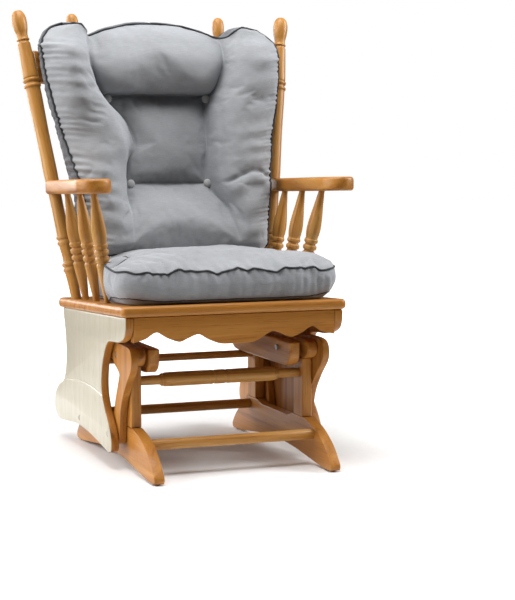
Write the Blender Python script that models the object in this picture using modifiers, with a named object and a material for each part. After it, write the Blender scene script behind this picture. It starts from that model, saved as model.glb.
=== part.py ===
"""Glider nursery chair: turned post back, scalloped apron, four swing links under the seat.

Front of the chair faces -Y, up is +Z, the floor is z = 0.  Suffix _l is the -X side.
"""
import math

import bmesh
import bpy
from mathutils import Matrix, Vector

for old in list(bpy.data.objects):
    bpy.data.objects.remove(old, do_unlink=True)

# ---- driving dimensions, metres ----
MIDDLE_Y = 0.0536       # middle of the overall depth, which becomes y = 0
GAP = 0.0004            # clearance between touching pieces
DECK_W = 0.540          # seat board
DECK_D = 0.562
DECK_T = 0.0238
DECK_FRONT_Y = -0.250
DECK_FRONT_Z = 0.3887   # top of the board at its front edge
DECK_TILT = math.radians(2.85)
PANEL_OUT = 0.262       # outer face of the side panels
PANEL_T = 0.020
FRAME_OUT = 0.2225      # outer face of the base side frames
FRAME_T = 0.0245
LINK_OUT = 0.2402       # outer face of the swing links
LINK_T = 0.016
PIVOT_FRONT_Y = -0.096
PIVOT_REAR_Y = 0.146
PIVOT_UP_Z = 0.264
PIVOT_LOW_Z = 0.082
RUN_UP = 0.00414          # running holes in the links, just over the bolt
RUN_LOW = 0.00363
RUNNER_FRONT_Y = -0.322
RUNNER_REAR_Y = 0.315
RUNNER_H = 0.102        # height of the runner under the uprights
RAIL_LOW_Z = 0.243
RAIL_TOP_Z = 0.287
UPRIGHT_W = 0.055
UPRIGHT_FRONT_Y = -0.155
UPRIGHT_REAR_Y = 0.205
INNER_IN = 0.159        # inner rails
INNER_OUT = 0.186
STRETCH_LOW = ((-0.216, 0.0725, "front"), (0.190, 0.0845, "rear"))
APRON_Y = -0.240
APRON_T = 0.020
POST_FOOT = (0.252, 0.1973)
POST_TOP = (0.3518, 0.3603, 1.070)
SPINDLE_FOOT = (0.150, 0.245)
SPINDLE_TOP = (0.198, 0.4216, 1.070)
MID_FOOT = (0.050, 0.253)
CREST_Z = 0.9325
CREST_H = 0.078
CREST_T = 0.020
CREST_END_Y = 0.338
CREST_BOW = 0.072
BACK_LEAN = 0.2315
ARM_TOP_Z = 0.6665
ARM_REF_Y = -0.130
ARM_TILT = math.radians(1.9)
ARM_T = 0.033
ARM_X = 0.298
ARM_FOOT_X = 0.240
ARM_HEAD_X = 0.282
ARM_FOOT_Y = (-0.035, 0.060, 0.155)
ARM_HEAD_Y = (-0.072, 0.048, 0.160)
CUSHION_T = 0.092
BUTTONS = ((0.105, 0.643), (0.124, 0.857))

TAN = math.tan(DECK_TILT)


def deck_top(y):
    return DECK_FRONT_Z - (y - DECK_FRONT_Y) * TAN


def deck_under(y):
    return deck_top(y) - DECK_T / math.cos(DECK_TILT) - GAP


parts = bpy.data.collections.new("glider_nursery_chair")
cutters = bpy.data.collections.new("cutters")
bpy.context.scene.collection.children.link(parts)
bpy.context.scene.collection.children.link(cutters)


# ---- helpers ----
def material(name, colour, rough, metal=0.0):
    mat = bpy.data.materials.new("mat_" + name)
    mat.use_nodes = True
    shader = mat.node_tree.nodes["Principled BSDF"]
    shader.inputs["Base Color"].default_value = (*colour, 1.0)
    shader.inputs["Roughness"].default_value = rough
    shader.inputs["Metallic"].default_value = metal
    mat.diffuse_color = (*colour, 1.0)
    return mat


def wood(name):
    return material(name, (0.62, 0.34, 0.13), 0.45)


def steel(name):
    return material(name, (0.55, 0.54, 0.52), 0.35, 1.0)


def cloth(name):
    return material(name, (0.38, 0.39, 0.40), 0.9)


def rubber(name):
    return material(name, (0.03, 0.03, 0.03), 0.7)


def add(name, mesh, mat, at=(0.0, 0.0, 0.0), parent=None, smooth=False):
    ob = bpy.data.objects.new(name, mesh)
    parts.objects.link(ob)
    if mat is not None:
        mesh.materials.append(mat)
    origin = Vector(at)
    if parent is not None:
        ob.parent = parent
        origin = origin - parent.location
    ob.location = origin
    if smooth:
        for face in mesh.polygons:
            face.use_smooth = True
    return ob


def pivot(name, at):
    empty = bpy.data.objects.new(name, None)
    empty.location = at
    parts.objects.link(empty)
    return empty


def spline(points, per=4):
    """Catmull-Rom curve through the points, ends included."""
    pts = [Vector(p) for p in points]
    pts = [2 * pts[0] - pts[1]] + pts + [2 * pts[-1] - pts[-2]]
    out = []
    for i in range(1, len(pts) - 2):
        a, b, c, d = pts[i - 1:i + 3]
        for k in range(per):
            t = k / per
            out.append(0.5 * (2 * b + (c - a) * t + (2 * a - 5 * b + 4 * c - d) * t * t
                              + (3 * b - a - 3 * c + d) * t ** 3))
    out.append(pts[-2])
    return [(p.x, p.y) for p in out]


TURNS = {"X": (math.pi / 2, 0.0, math.pi / 2), "Y": (math.pi / 2, 0.0, 0.0), "Z": (0.0, 0.0, 0.0)}


def curve_mesh(name, points, cyclic, flat_half=0.0, tube=0.0):
    """Mesh of a filled flat outline with a thickness, or of a round wire, caps welded."""
    curve = bpy.data.curves.new(name, "CURVE")
    run = curve.splines.new("POLY")
    run.points.add(len(points) - 1)
    for knot, p in zip(run.points, points):
        knot.co = (*p, 1.0) if len(p) == 3 else (*p, 0.0, 1.0)
    run.use_cyclic_u = cyclic
    if tube:
        curve.dimensions = "3D"
        curve.bevel_depth = tube
        curve.bevel_resolution = 1
        curve.use_fill_caps = True
    else:
        curve.dimensions = "2D"
        curve.fill_mode = "BOTH"
        curve.extrude = flat_half
    ob = bpy.data.objects.new(name, curve)
    parts.objects.link(ob)
    seen = ob.evaluated_get(bpy.context.evaluated_depsgraph_get())
    mesh = bpy.data.meshes.new_from_object(seen)
    bpy.data.objects.remove(ob, do_unlink=True)
    bm = bmesh.new()
    bm.from_mesh(mesh)
    bmesh.ops.remove_doubles(bm, verts=bm.verts, dist=0.00002)
    bmesh.ops.dissolve_limit(bm, angle_limit=0.002, verts=bm.verts, edges=bm.edges)
    bmesh.ops.recalc_face_normals(bm, faces=bm.faces)
    bm.to_mesh(mesh)
    bm.free()
    mesh.name = name
    return mesh


def board(name, outline, lo, hi, axis, mat, at=(0.0, 0.0, 0.0), parent=None):
    """Board cut to an outline in the two other axes, between lo and hi along its own axis."""
    mid = {"X": (0.5 * (lo + hi), at[1], at[2]), "Y": (at[0], 0.5 * (lo + hi), at[2]),
           "Z": (at[0], at[1], 0.5 * (lo + hi))}[axis]
    base = {"X": (at[1], at[2]), "Y": (at[0], at[2]), "Z": (at[0], at[1])}[axis]
    local = [(p[0] - base[0], p[1] - base[1]) for p in outline]
    mesh = curve_mesh(name, local, True, flat_half=0.5 * (hi - lo))
    ob = add(name, mesh, mat, at=mid, parent=parent)
    ob.rotation_euler = TURNS[axis]
    return ob


def tilt_board(ob, tilt, thick, front_y, front_z, parent):
    """Lean a flat board back: its top front edge line stays at (front_y, front_z)."""
    ob.rotation_euler = (-tilt, 0.0, 0.0)
    ob.location = Vector((0.0, front_y - 0.5 * thick * math.sin(tilt),
                          front_z - 0.5 * thick * math.cos(tilt))) - parent.location


def bevel(ob, width, segments=1, angle=40):
    mod = ob.modifiers.new("edge", "BEVEL")
    mod.width = width
    mod.segments = segments
    mod.limit_method = "ANGLE"
    mod.angle_limit = math.radians(angle)
    mod.use_clamp_overlap = True
    return mod


def tool(name, mesh):
    ob = bpy.data.objects.new(name, mesh)
    cutters.objects.link(ob)
    ob.hide_render = True
    ob.display_type = "WIRE"
    return ob


def rods(name, items, sides=16):
    """One cutter made of separate round rods: (start, end, radius)."""
    bm = bmesh.new()
    for start, end, radius in items:
        a, b = Vector(start), Vector(end)
        turn = (b - a).to_track_quat("Z", "Y").to_matrix().to_4x4()
        bmesh.ops.create_cone(bm, cap_ends=True, segments=sides, radius1=radius, radius2=radius,
                              depth=(b - a).length,
                              matrix=Matrix.Translation((a + b) / 2) @ turn)
    mesh = bpy.data.meshes.new(name)
    bm.to_mesh(mesh)
    bm.free()
    return tool(name, mesh)


def cut(ob, cutter):
    mod = ob.modifiers.new("cut", "BOOLEAN")
    mod.operation = "DIFFERENCE"
    mod.solver = "EXACT"
    mod.object = cutter


def turned(name, profile, start, end, mat, parent=None, sides=14):
    """Lathe: profile is (distance from start, radius) pairs, start end first."""
    a, b = Vector(start), Vector(end)
    mesh = bpy.data.meshes.new(name)
    top = profile[-1][0]
    pts = [(0.0, 0.0, top)] + [(r, 0.0, d) for d, r in reversed(profile)]
    pts.append((0.0, 0.0, profile[0][0]))
    mesh.from_pydata(pts, [(i, i + 1) for i in range(len(pts) - 1)], [])
    ob = add(name, mesh, mat, at=a, parent=parent)
    ob.rotation_mode = "QUATERNION"
    ob.rotation_quaternion = (b - a).to_track_quat("Z", "Y")
    mod = ob.modifiers.new("lathe", "SCREW")
    mod.axis = "Z"
    mod.angle = 2 * math.pi
    mod.steps = sides
    mod.render_steps = sides
    mod.use_merge_vertices = True
    mod.merge_threshold = 0.00001
    mod.use_smooth_shade = True
    return ob


def length(a, b):
    return (Vector(b) - Vector(a)).length


# ---- pivots of the moving bodies ----
seat = pivot("seat_pivot", (0.0, PIVOT_FRONT_Y, PIVOT_LOW_Z))

# ---- base: two side frames, stretchers, inner rails, glides ----
FOOT = 0.0034
arch = spline([(-0.280, FOOT), (-0.186, 0.0135), (-0.100, 0.0225), (0.0, 0.0265),
               (0.095, 0.0225), (0.180, 0.0135), (0.273, FOOT)], 3)
top_front = spline([(RUNNER_FRONT_Y + 0.004, FOOT), (RUNNER_FRONT_Y, 0.012),
                    (-0.316, 0.024), (-0.283, 0.056), (-0.227, 0.087), (-0.166, RUNNER_H)], 3)
top_rear = spline([(0.216, RUNNER_H), (0.232, 0.084), (0.283, 0.050), (0.309, 0.024),
                   (RUNNER_REAR_Y, 0.012), (RUNNER_REAR_Y - 0.004, FOOT)], 3)
runner = arch + top_rear[::-1] + [(0.140, RUNNER_H), (0.112, 0.094), (-0.062, 0.094),
                                  (-0.090, RUNNER_H)] + top_front[::-1]
rail = spline([(-0.160, RAIL_LOW_Z), (-0.180, 0.250), (-0.190, 0.266), (-0.184, 0.281),
               (-0.168, RAIL_TOP_Z)], 3)
rail += spline([(0.218, RAIL_TOP_Z), (0.233, 0.281), (0.240, 0.266), (0.230, 0.250),
                (0.210, RAIL_LOW_Z)], 3)
inner = spline([(-0.118, 0.225), (-0.150, 0.228), (-0.166, 0.243), (-0.170, 0.262),
                (-0.170, 0.283)], 3)
inner += spline([(0.220, 0.283), (0.220, 0.262), (0.216, 0.243), (0.200, 0.228),
                 (0.168, 0.225)], 3)

for side, tag in ((-1, "l"), (1, "r")):
    f_out, f_in = side * FRAME_OUT, side * (FRAME_OUT - FRAME_T)
    lo, hi = sorted((f_out, f_in))
    mid = 0.5 * (lo + hi)
    body = board("runner_" + tag, runner, lo, hi, "X", wood("runner_" + tag))
    bevel(body, 0.003)
    for y0, where in ((UPRIGHT_FRONT_Y, "front"), (UPRIGHT_REAR_Y - UPRIGHT_W, "rear")):
        box = [(y0, RUNNER_H + GAP), (y0 + UPRIGHT_W, RUNNER_H + GAP),
               (y0 + UPRIGHT_W, RAIL_LOW_Z - GAP), (y0, RAIL_LOW_Z - GAP)]
        name = "upright_" + where + "_" + tag
        body = board(name, box, lo, hi, "X", wood(name), at=(mid, y0, RUNNER_H))
        bevel(body, 0.002)
    rail_ob = board("top_rail_" + tag, rail, lo, hi, "X", wood("top_rail_" + tag))
    bevel(rail_ob, 0.0025)
    i_lo, i_hi = sorted((side * INNER_IN, side * INNER_OUT))
    inner_ob = board("inner_rail_" + tag, inner, i_lo, i_hi, "X", wood("inner_rail_" + tag))
    bevel(inner_ob, 0.003)
    items_f, items_i = [], []
    for yp in (PIVOT_FRONT_Y, PIVOT_REAR_Y):
        items_f.append(((side * 0.19, yp, PIVOT_UP_Z), (side * 0.23, yp, PIVOT_UP_Z), 0.0045))
        items_i.append(((side * 0.15, yp, PIVOT_UP_Z), (side * 0.193, yp, PIVOT_UP_Z), 0.0045))
    cut(rail_ob, rods("cut_top_rail_" + tag, items_f, 14))
    cut(inner_ob, rods("cut_inner_rail_" + tag, items_i, 14))
    for yg, where in ((-0.300, "front"), (0.293, "rear")):
        turned("glide_" + where + "_" + tag, [(0.0, 0.0085), (0.002, 0.0095), (0.003, 0.0095)],
               (mid, yg, 0.0), (mid, yg, 0.01), rubber("glide_" + where + "_" + tag), sides=12)
    for yp, where in ((PIVOT_FRONT_Y, "front"), (PIVOT_REAR_Y, "rear")):
        head = side * (LINK_OUT - 0.0006)
        shape = [(0.0, 0.0068), (0.0036, 0.0068), (0.0036, 0.0040), (0.0420, 0.0040),
                 (0.0420, 0.0085), (0.0532, 0.0085), (0.0532, 0.0040), (0.0810, 0.0040),
                 (0.0810, 0.0070), (0.0850, 0.0070)]
        turned("bolt_up_" + where + "_" + tag, shape, (head, yp, PIVOT_UP_Z),
               (0.0, yp, PIVOT_UP_Z), steel("bolt_up_" + where + "_" + tag), sides=10)

half = FRAME_OUT - FRAME_T - GAP
low = [(0.0, 0.0115), (0.001, 0.012), (2 * half - 0.001, 0.012), (2 * half, 0.0115)]
for y, z, where in STRETCH_LOW:
    turned("stretcher_low_" + where, low, (-half, y, z), (half, y, z),
           wood("stretcher_low_" + where), sides=16)
side_shape = [(0.0, 0.0105), (0.030, 0.0112), (0.050, 0.0112), (0.054, 0.0135), (0.057, 0.0150),
              (0.060, 0.0135), (0.062, 0.0155), (0.075, 0.0165)]
mid_shape = side_shape + [(0.165, 0.0165), (0.169, 0.0150), (0.173, 0.0165), (0.179, 0.0165),
                          (0.183, 0.0150), (0.187, 0.0165)]
mid_shape = mid_shape + [(2 * half - d, r) for d, r in reversed(mid_shape)]
turned("stretcher_mid_front", mid_shape, (-half, -0.1275, 0.206), (half, -0.1275, 0.206),
       wood("stretcher_mid_front"), sides=12)
bar = [(0.0, 0.0090), (0.001, 0.0095), (2 * half - 0.001, 0.0095), (2 * half, 0.0090)]
turned("stretcher_up_rear", bar, (-half, 0.1775, 0.2145), (half, 0.1775, 0.2145),
       wood("stretcher_up_rear"), sides=14)

# ---- four swing links, each hung on its upper pivot ----
link = spline([(-0.030, 0.029), (-0.080, 0.028), (-0.108, 0.022), (-0.120, 0.004),
               (-0.114, -0.022), (-0.078, -0.058), (-0.046, -0.098), (-0.031, -0.134),
               (-0.026, -0.168), (-0.024, -0.188), (-0.012, -0.203), (0.004, -0.206),
               (0.019, -0.198), (0.025, -0.182), (0.024, -0.160), (0.016, -0.130),
               (0.004, -0.100), (-0.010, -0.074), (-0.022, -0.052), (-0.024, -0.040),
               (-0.006, -0.030), (0.016, -0.020), (0.027, 0.000), (0.018, 0.020),
               (0.000, 0.028), (-0.029, 0.029)], 2)[:-1]
for side, tag in ((-1, "l"), (1, "r")):
    lo, hi = sorted((side * LINK_OUT, side * (LINK_OUT - LINK_T)))
    mid = 0.5 * (lo + hi)
    for yp, where, mirror in ((PIVOT_FRONT_Y, "front", 1), (PIVOT_REAR_Y, "rear", -1)):
        shape = [(yp + mirror * a, PIVOT_UP_Z + b) for a, b in link]
        name = "link_" + where + "_" + tag
        body = board(name, shape, lo, hi, "X", wood(name), at=(mid, yp, PIVOT_UP_Z))
        bevel(body, 0.003, 1, 50)
        out = side * LINK_OUT
        holes = [((out - side * 0.03, yp, PIVOT_UP_Z), (out + side * 0.01, yp, PIVOT_UP_Z), RUN_UP),
                 ((out - side * 0.03, yp, PIVOT_LOW_Z), (out + side * 0.01, yp, PIVOT_LOW_Z), RUN_LOW)]
        cut(body, rods("cut_" + name, holes))
        sink = [((out - side * 0.0052, yp, PIVOT_UP_Z), (out + side * 0.02, yp, PIVOT_UP_Z), 0.0076)]
        cut(body, rods("sink_" + name, sink))

# ---- gliding seat: board, aprons, side panels ----
deck_shape = []
R = 0.014
for cx, cy, a0 in ((DECK_W / 2 - R, R, -90), (DECK_W / 2 - R, DECK_D - R, 0),
                   (-DECK_W / 2 + R, DECK_D - R, 90), (-DECK_W / 2 + R, R, 180)):
    for k in range(4):
        ang = math.radians(a0 + 30 * k)
        deck_shape.append((cx + R * math.cos(ang), cy + R * math.sin(ang)))
deck = board("deck", deck_shape, -DECK_T, 0.0, "Z", wood("deck"), parent=seat)
tilt_board(deck, DECK_TILT, DECK_T, DECK_FRONT_Y, DECK_FRONT_Z, seat)
bevel(deck, 0.0075, 2)

panel = [(-0.2435, deck_under(-0.2435)), (-0.243, 0.340)]
panel += spline([(-0.2425, 0.338), (-0.234, 0.322), (-0.215, 0.311), (-0.180, 0.302),
                 (-0.130, 0.299), (-0.096, 0.292), (-0.070, 0.264), (-0.052, 0.230),
                 (-0.046, 0.197), (-0.050, 0.167), (-0.068, 0.138), (-0.098, 0.108),
                 (-0.118, 0.082), (-0.124, 0.060), (-0.119, 0.045), (-0.104, 0.040)], 2)
panel += spline([(-0.084, 0.041), (-0.015, 0.050), (0.080, 0.060), (0.180, 0.063),
                 (0.270, 0.055), (0.335, 0.050), (0.368, 0.058), (0.384, 0.080),
                 (0.377, 0.110), (0.345, 0.136), (0.300, 0.153), (0.274, 0.180),
                 (0.265, 0.225), (0.270, 0.270), (0.286, 0.318)], 2)
panel += [(0.292, deck_under(0.292))]
groove = spline([(0.330, 0.148), (0.270, 0.161), (0.180, 0.170), (0.090, 0.175),
                 (0.010, 0.172), (-0.075, 0.163)], 2)
for side, tag in ((-1, "l"), (1, "r")):
    lo, hi = sorted((side * PANEL_OUT, side * (PANEL_OUT - PANEL_T)))
    mid = 0.5 * (lo + hi)
    body = board("side_panel_" + tag, panel, lo, hi, "X", wood("side_panel_" + tag),
                 at=(mid, PIVOT_FRONT_Y, PIVOT_LOW_Z), parent=seat)
    bevel(body, 0.003, 1, 50)
    out = side * PANEL_OUT
    holes = [((out - side * 0.04, yp, PIVOT_LOW_Z), (out + side * 0.01, yp, PIVOT_LOW_Z), 0.0040)
             for yp in (PIVOT_FRONT_Y, PIVOT_REAR_Y)]
    cut(body, rods("cut_panel_" + tag, holes))
    sink = [((out - side * 0.0042, yp, PIVOT_LOW_Z), (out + side * 0.01, yp, PIVOT_LOW_Z), 0.0062)
            for yp in (PIVOT_FRONT_Y, PIVOT_REAR_Y)]
    cut(body, rods("sink_panel_" + tag, sink))
    path = [(out + side * 0.0008, y, z) for y, z in groove]
    cut(body, tool("groove_" + tag, curve_mesh("groove_" + tag, path, False, tube=0.0026)))
    for yp, where in ((PIVOT_FRONT_Y, "front"), (PIVOT_REAR_Y, "rear")):
        shape = [(0.0, 0.0056), (0.0034, 0.0056), (0.0034, 0.0035), (0.0199, 0.0035),
                 (0.0199, 0.0065), (0.0209, 0.0065), (0.0209, 0.0035), (0.0360, 0.0035)]
        name = "bolt_low_" + where + "_" + tag
        turned(name, shape, (side * (PANEL_OUT - 0.0004), yp, PIVOT_LOW_Z), (0, yp, PIVOT_LOW_Z),
               steel(name), parent=seat, sides=10)

x_end = PANEL_OUT - PANEL_T - GAP
right = spline([(0.0, 0.2965), (0.036, 0.2975), (0.060, 0.306), (0.088, 0.3205), (0.114, 0.3130),
                (0.134, 0.3055), (0.158, 0.3130), (0.188, 0.3285), (0.214, 0.3150),
                (x_end, 0.3075)], 3)
scallop = right + [(x_end, deck_under(APRON_Y + APRON_T) - GAP),
                   (-x_end, deck_under(APRON_Y + APRON_T) - GAP)]
scallop += [(-x, z) for x, z in reversed(right)][:-1]
apron = board("apron_front", scallop, APRON_Y, APRON_Y + APRON_T, "Y", wood("apron_front"),
              parent=seat)
bevel(apron, 0.0025, 1, 50)
rear_y = 0.264
top_z = deck_under(rear_y + APRON_T) - GAP
plain = [(-x_end, 0.307), (x_end, 0.307), (x_end, top_z), (-x_end, top_z)]
apron = board("apron_rear", plain, rear_y, rear_y + APRON_T, "Y", wood("apron_rear"),
              parent=seat)
bevel(apron, 0.0025, 1, 50)

# ---- back: posts, spindles, bowed crest rail ----
SINK = 0.014
deck_holes = []


def foot(x, y):
    return Vector((x, y, deck_top(y)))


POST = [(0.0, 0.0120), (0.014, 0.0122), (0.055, 0.0130), (0.082, 0.0148), (0.085, 0.0172),
        (0.090, 0.0172), (0.093, 0.0146), (0.096, 0.0146), (0.099, 0.0174), (0.104, 0.0174),
        (0.107, 0.0140), (0.122, 0.0130), (0.142, 0.0146), (0.150, 0.0156), (0.153, 0.0182),
        (0.158, 0.0182), (0.161, 0.0154), (0.164, 0.0154), (0.167, 0.0184), (0.172, 0.0184),
        (0.175, 0.0158), (0.270, 0.0152), (0.330, 0.0170), (0.430, 0.0166), (0.520, 0.0182),
        (0.546, 0.0184), (0.549, 0.0208), (0.554, 0.0208), (0.557, 0.0176), (0.561, 0.0176),
        (0.564, 0.0208), (0.569, 0.0208), (0.572, 0.0176), (0.576, 0.0176), (0.579, 0.0190),
        (0.650, 0.0162), (0.660, 0.0156), (0.663, 0.0134), (0.666, 0.0134), (0.669, 0.0160),
        (0.674, 0.0140), (0.684, 0.0142), (0.696, 0.0168), (0.710, 0.0186), (0.724, 0.0182),
        (0.735, 0.0152), (0.742, 0.0100), (0.744, 0.0040)]
post_ends = {}
for side, tag in ((-1, "l"), (1, "r")):
    base = foot(side * POST_FOOT[0], POST_FOOT[1])
    tip = Vector((side * POST_TOP[0], POST_TOP[1], POST_TOP[2]))
    way = (tip - base).normalized()
    start = base - way * SINK
    scale = ((tip - start).length) / POST[-1][0]
    turned("post_" + tag, [(d * scale, r) for d, r in POST], start, tip, wood("post_" + tag),
           parent=seat, sides=12)
    post_ends[tag] = (start, tip)
    deck_holes.append((start - way * 0.0008, base + way * 0.03, 0.0120 + 0.0005))

LONG = [(0.0, 0.0075), (0.020, 0.0078), (0.080, 0.0095), (0.160, 0.0120), (0.172, 0.0135),
        (0.184, 0.0120), (0.260, 0.0105), (0.380, 0.0110), (0.500, 0.0085), (0.560, 0.0075),
        (0.652, 0.0075), (0.660, 0.0100), (0.668, 0.0086), (0.680, 0.0124), (0.694, 0.0150),
        (0.710, 0.0154), (0.722, 0.0136), (0.729, 0.0092), (0.732, 0.0040)]
crest_holes = []
for side, tag in ((-1, "l"), (1, "r")):
    base = foot(side * SPINDLE_FOOT[0], SPINDLE_FOOT[1])
    tip = Vector((side * SPINDLE_TOP[0], SPINDLE_TOP[1], SPINDLE_TOP[2]))
    way = (tip - base).normalized()
    start = base - way * SINK
    scale = ((tip - start).length) / LONG[-1][0]
    turned("back_spindle_outer_" + tag, [(d * scale, r) for d, r in LONG], start, tip,
           wood("back_spindle_outer_" + tag), parent=seat, sides=10)
    deck_holes.append((start - way * 0.0008, base + way * 0.03, 0.0078 + 0.0005))
    crest_holes.append((start + way * 0.48, start + way * 0.66 * scale, 0.0075 + 0.0006))

SHORT = [(0.0, 0.0075), (0.020, 0.0078), (0.080, 0.0095), (0.160, 0.0120), (0.172, 0.0135),
         (0.184, 0.0120), (0.260, 0.0105), (0.380, 0.0110), (0.480, 0.0085), (0.555, 0.0075)]
mid_y = CREST_END_Y + CREST_BOW * (1 - (0.062 / 0.312) ** 2)
mid_z = CREST_Z - CREST_H / 2 + 0.010
for side, tag in ((-1, "l"), (1, "r")):
    base = foot(side * MID_FOOT[0], MID_FOOT[1])
    tip = Vector((side * 0.062, mid_y + BACK_LEAN * (mid_z - CREST_Z), mid_z))
    way = (tip - base).normalized()
    start = base - way * SINK
    scale = ((tip - start).length) / SHORT[-1][0]
    turned("back_spindle_inner_" + tag, [(d * scale, r) for d, r in SHORT], start, tip,
           wood("back_spindle_inner_" + tag), parent=seat, sides=10)
    deck_holes.append((start - way * 0.0008, base + way * 0.03, 0.0078 + 0.0005))
    crest_holes.append((tip - way * 0.040, tip + way * 0.0008, 0.0075 + 0.0006))


plan = []
for i in range(15):
    u = 2 * i / 14 - 1
    plan.append((0.330 * u, CREST_BOW * (1 - (0.330 * u / 0.312) ** 2) - CREST_T / 2))
plan += [(x, y + CREST_T) for x, y in reversed(plan)]
crest = board("crest_rail", plan, -CREST_H / 2, CREST_H / 2, "Z", wood("crest_rail"), parent=seat)
crest.rotation_euler = (-math.atan(BACK_LEAN), 0.0, 0.0)
crest.location = Vector((0.0, CREST_END_Y, CREST_Z)) - seat.location
bevel(crest, 0.003, 1, 50)
cut(crest, rods("cut_crest", crest_holes, 14))
for tag in "lr":
    cut(crest, rods("cut_crest_" + tag, [(*post_ends[tag], 0.0214)], 24))

# ---- armrests and their spindles ----
ARM_SP = [(0.0, 0.0072), (0.016, 0.0076), (0.050, 0.0108), (0.085, 0.0140), (0.102, 0.0150),
          (0.106, 0.0122), (0.109, 0.0122), (0.112, 0.0160), (0.119, 0.0160), (0.122, 0.0128),
          (0.125, 0.0128), (0.128, 0.0164), (0.135, 0.0164), (0.138, 0.0130), (0.141, 0.0130),
          (0.144, 0.0162), (0.150, 0.0162), (0.153, 0.0146), (0.166, 0.0164), (0.182, 0.0168),
          (0.204, 0.0148), (0.234, 0.0108), (0.252, 0.0086), (0.262, 0.0073), (0.276, 0.0072)]


def arm_under(y):
    return ARM_TOP_Z - (y - ARM_REF_Y) * math.tan(ARM_TILT) - ARM_T / math.cos(ARM_TILT)


for side, tag in ((-1, "l"), (1, "r")):
    inner_edge = [(0.2760, 0.262), (0.2735, 0.180), (0.2680, 0.080), (0.2600, -0.020),
                  (0.2565, -0.100), (0.2600, -0.138), (0.2760, -0.163)]
    outer_edge = [(0.2960, -0.170), (0.3180, -0.163), (0.3350, -0.138), (0.3390, -0.100),
                  (0.3350, -0.010), (0.3260, 0.100), (0.3180, 0.200), (0.3130, 0.250)]
    edge = spline(inner_edge + outer_edge, 2) + [(0.3020, 0.268), (0.2860, 0.270)]
    body = board("armrest_" + tag, [(side * x, y - ARM_REF_Y) for x, y in edge], -ARM_T, 0.0, "Z",
                 wood("armrest_" + tag), parent=seat)
    tilt_board(body, ARM_TILT, ARM_T, ARM_REF_Y, ARM_TOP_Z, seat)
    bevel(body, 0.007, 2, 50)
    holes = []
    for n, (fy, hy) in enumerate(zip(ARM_FOOT_Y, ARM_HEAD_Y)):
        base = foot(side * ARM_FOOT_X, fy)
        head = Vector((side * ARM_HEAD_X, hy, arm_under(hy)))
        way = (head - base).normalized()
        start, tip = base - way * SINK, head + way * 0.010
        scale = (tip - start).length / ARM_SP[-1][0]
        name = "arm_spindle_" + "abc"[n] + "_" + tag
        turned(name, [(d * scale, r) for d, r in ARM_SP], start, tip, wood(name), parent=seat,
               sides=10)
        deck_holes.append((start - way * 0.0008, base + way * 0.03, 0.0074 + 0.0005))
        holes.append((head - way * 0.03, tip + way * 0.0008, 0.0075 + 0.0006))
    start, tip = post_ends[tag]
    s0 = (0.55 - start.z) / (tip.z - start.z)
    s1 = (0.75 - start.z) / (tip.z - start.z)
    holes.append((start.lerp(tip, s0), start.lerp(tip, s1), 0.0172))
    cut(body, rods("cut_arm_" + tag, holes, 16))

cut(deck, rods("cut_deck", deck_holes, 14))


# ---- cushions ----
def shell(name, front, back, cols, rows, mat, parent):
    """Closed body between two grids that share their outline."""
    bm = bmesh.new()
    a = [[bm.verts.new(front(i / cols, j / rows)) for i in range(cols + 1)]
         for j in range(rows + 1)]
    b = [[bm.verts.new(back(i / cols, j / rows)) for i in range(cols + 1)]
         for j in range(rows + 1)]
    for j in range(rows):
        for i in range(cols):
            bm.faces.new([a[j][i], a[j][i + 1], a[j + 1][i + 1], a[j + 1][i]])
            bm.faces.new([b[j][i], b[j + 1][i], b[j + 1][i + 1], b[j][i + 1]])
    rim = [(0, i) for i in range(cols)] + [(j, cols) for j in range(rows)]
    rim += [(rows, i) for i in range(cols, 0, -1)] + [(j, 0) for j in range(rows, 0, -1)]
    for (j, i), (m, n) in zip(rim, rim[1:] + rim[:1]):
        bm.faces.new([a[j][i], b[j][i], b[m][n], a[m][n]])
    bmesh.ops.recalc_face_normals(bm, faces=bm.faces)
    mesh = bpy.data.meshes.new(name)
    bm.to_mesh(mesh)
    bm.free()
    return add(name, mesh, mat, parent=parent, smooth=True)


def ease(t):
    t = min(max(t, 0.0), 1.0)
    return t * t * (3 - 2 * t)


SEAT_FRONT, SEAT_REAR = 0.010, 0.470
half = [(0.250, SEAT_FRONT), (0.264, SEAT_FRONT + 0.014), (0.264, 0.168), (0.256, 0.182),
        (0.214, 0.196), (0.212, SEAT_REAR - 0.030), (0.196, SEAT_REAR)]
shape = half + [(-x, y) for x, y in reversed(half)]
body = board("seat_cushion", shape, 0.0006, CUSHION_T, "Z", cloth("seat_cushion"), parent=seat)
body.rotation_euler = (-DECK_TILT, 0.0, 0.0)
mid_h = 0.5 * (0.0006 + CUSHION_T)
body.location = Vector((0.0, DECK_FRONT_Y + mid_h * math.sin(DECK_TILT),
                        DECK_FRONT_Z + mid_h * math.cos(DECK_TILT))) - seat.location
bevel(body, 0.014, 2, 50)

BACK_LOW, BACK_TOP, BACK_CORNER = 0.478, 1.034, 0.062
CROSS_LOW, CROSS_HIGH = 0.643, 0.862
BACK_Z = (0.478, 0.500, 0.540, 0.585, 0.618, 0.643, 0.670, 0.708, 0.755, 0.800, 0.836, 0.862,
          0.884, 0.915, 0.950, 0.980, 1.004, 1.022, 1.034)
WING_STEPS, MID_STEPS = (0.0, 0.10, 0.28, 0.52, 0.78, 1.0), 8
COLS = 2 * (len(WING_STEPS) - 1) + MID_STEPS
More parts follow.
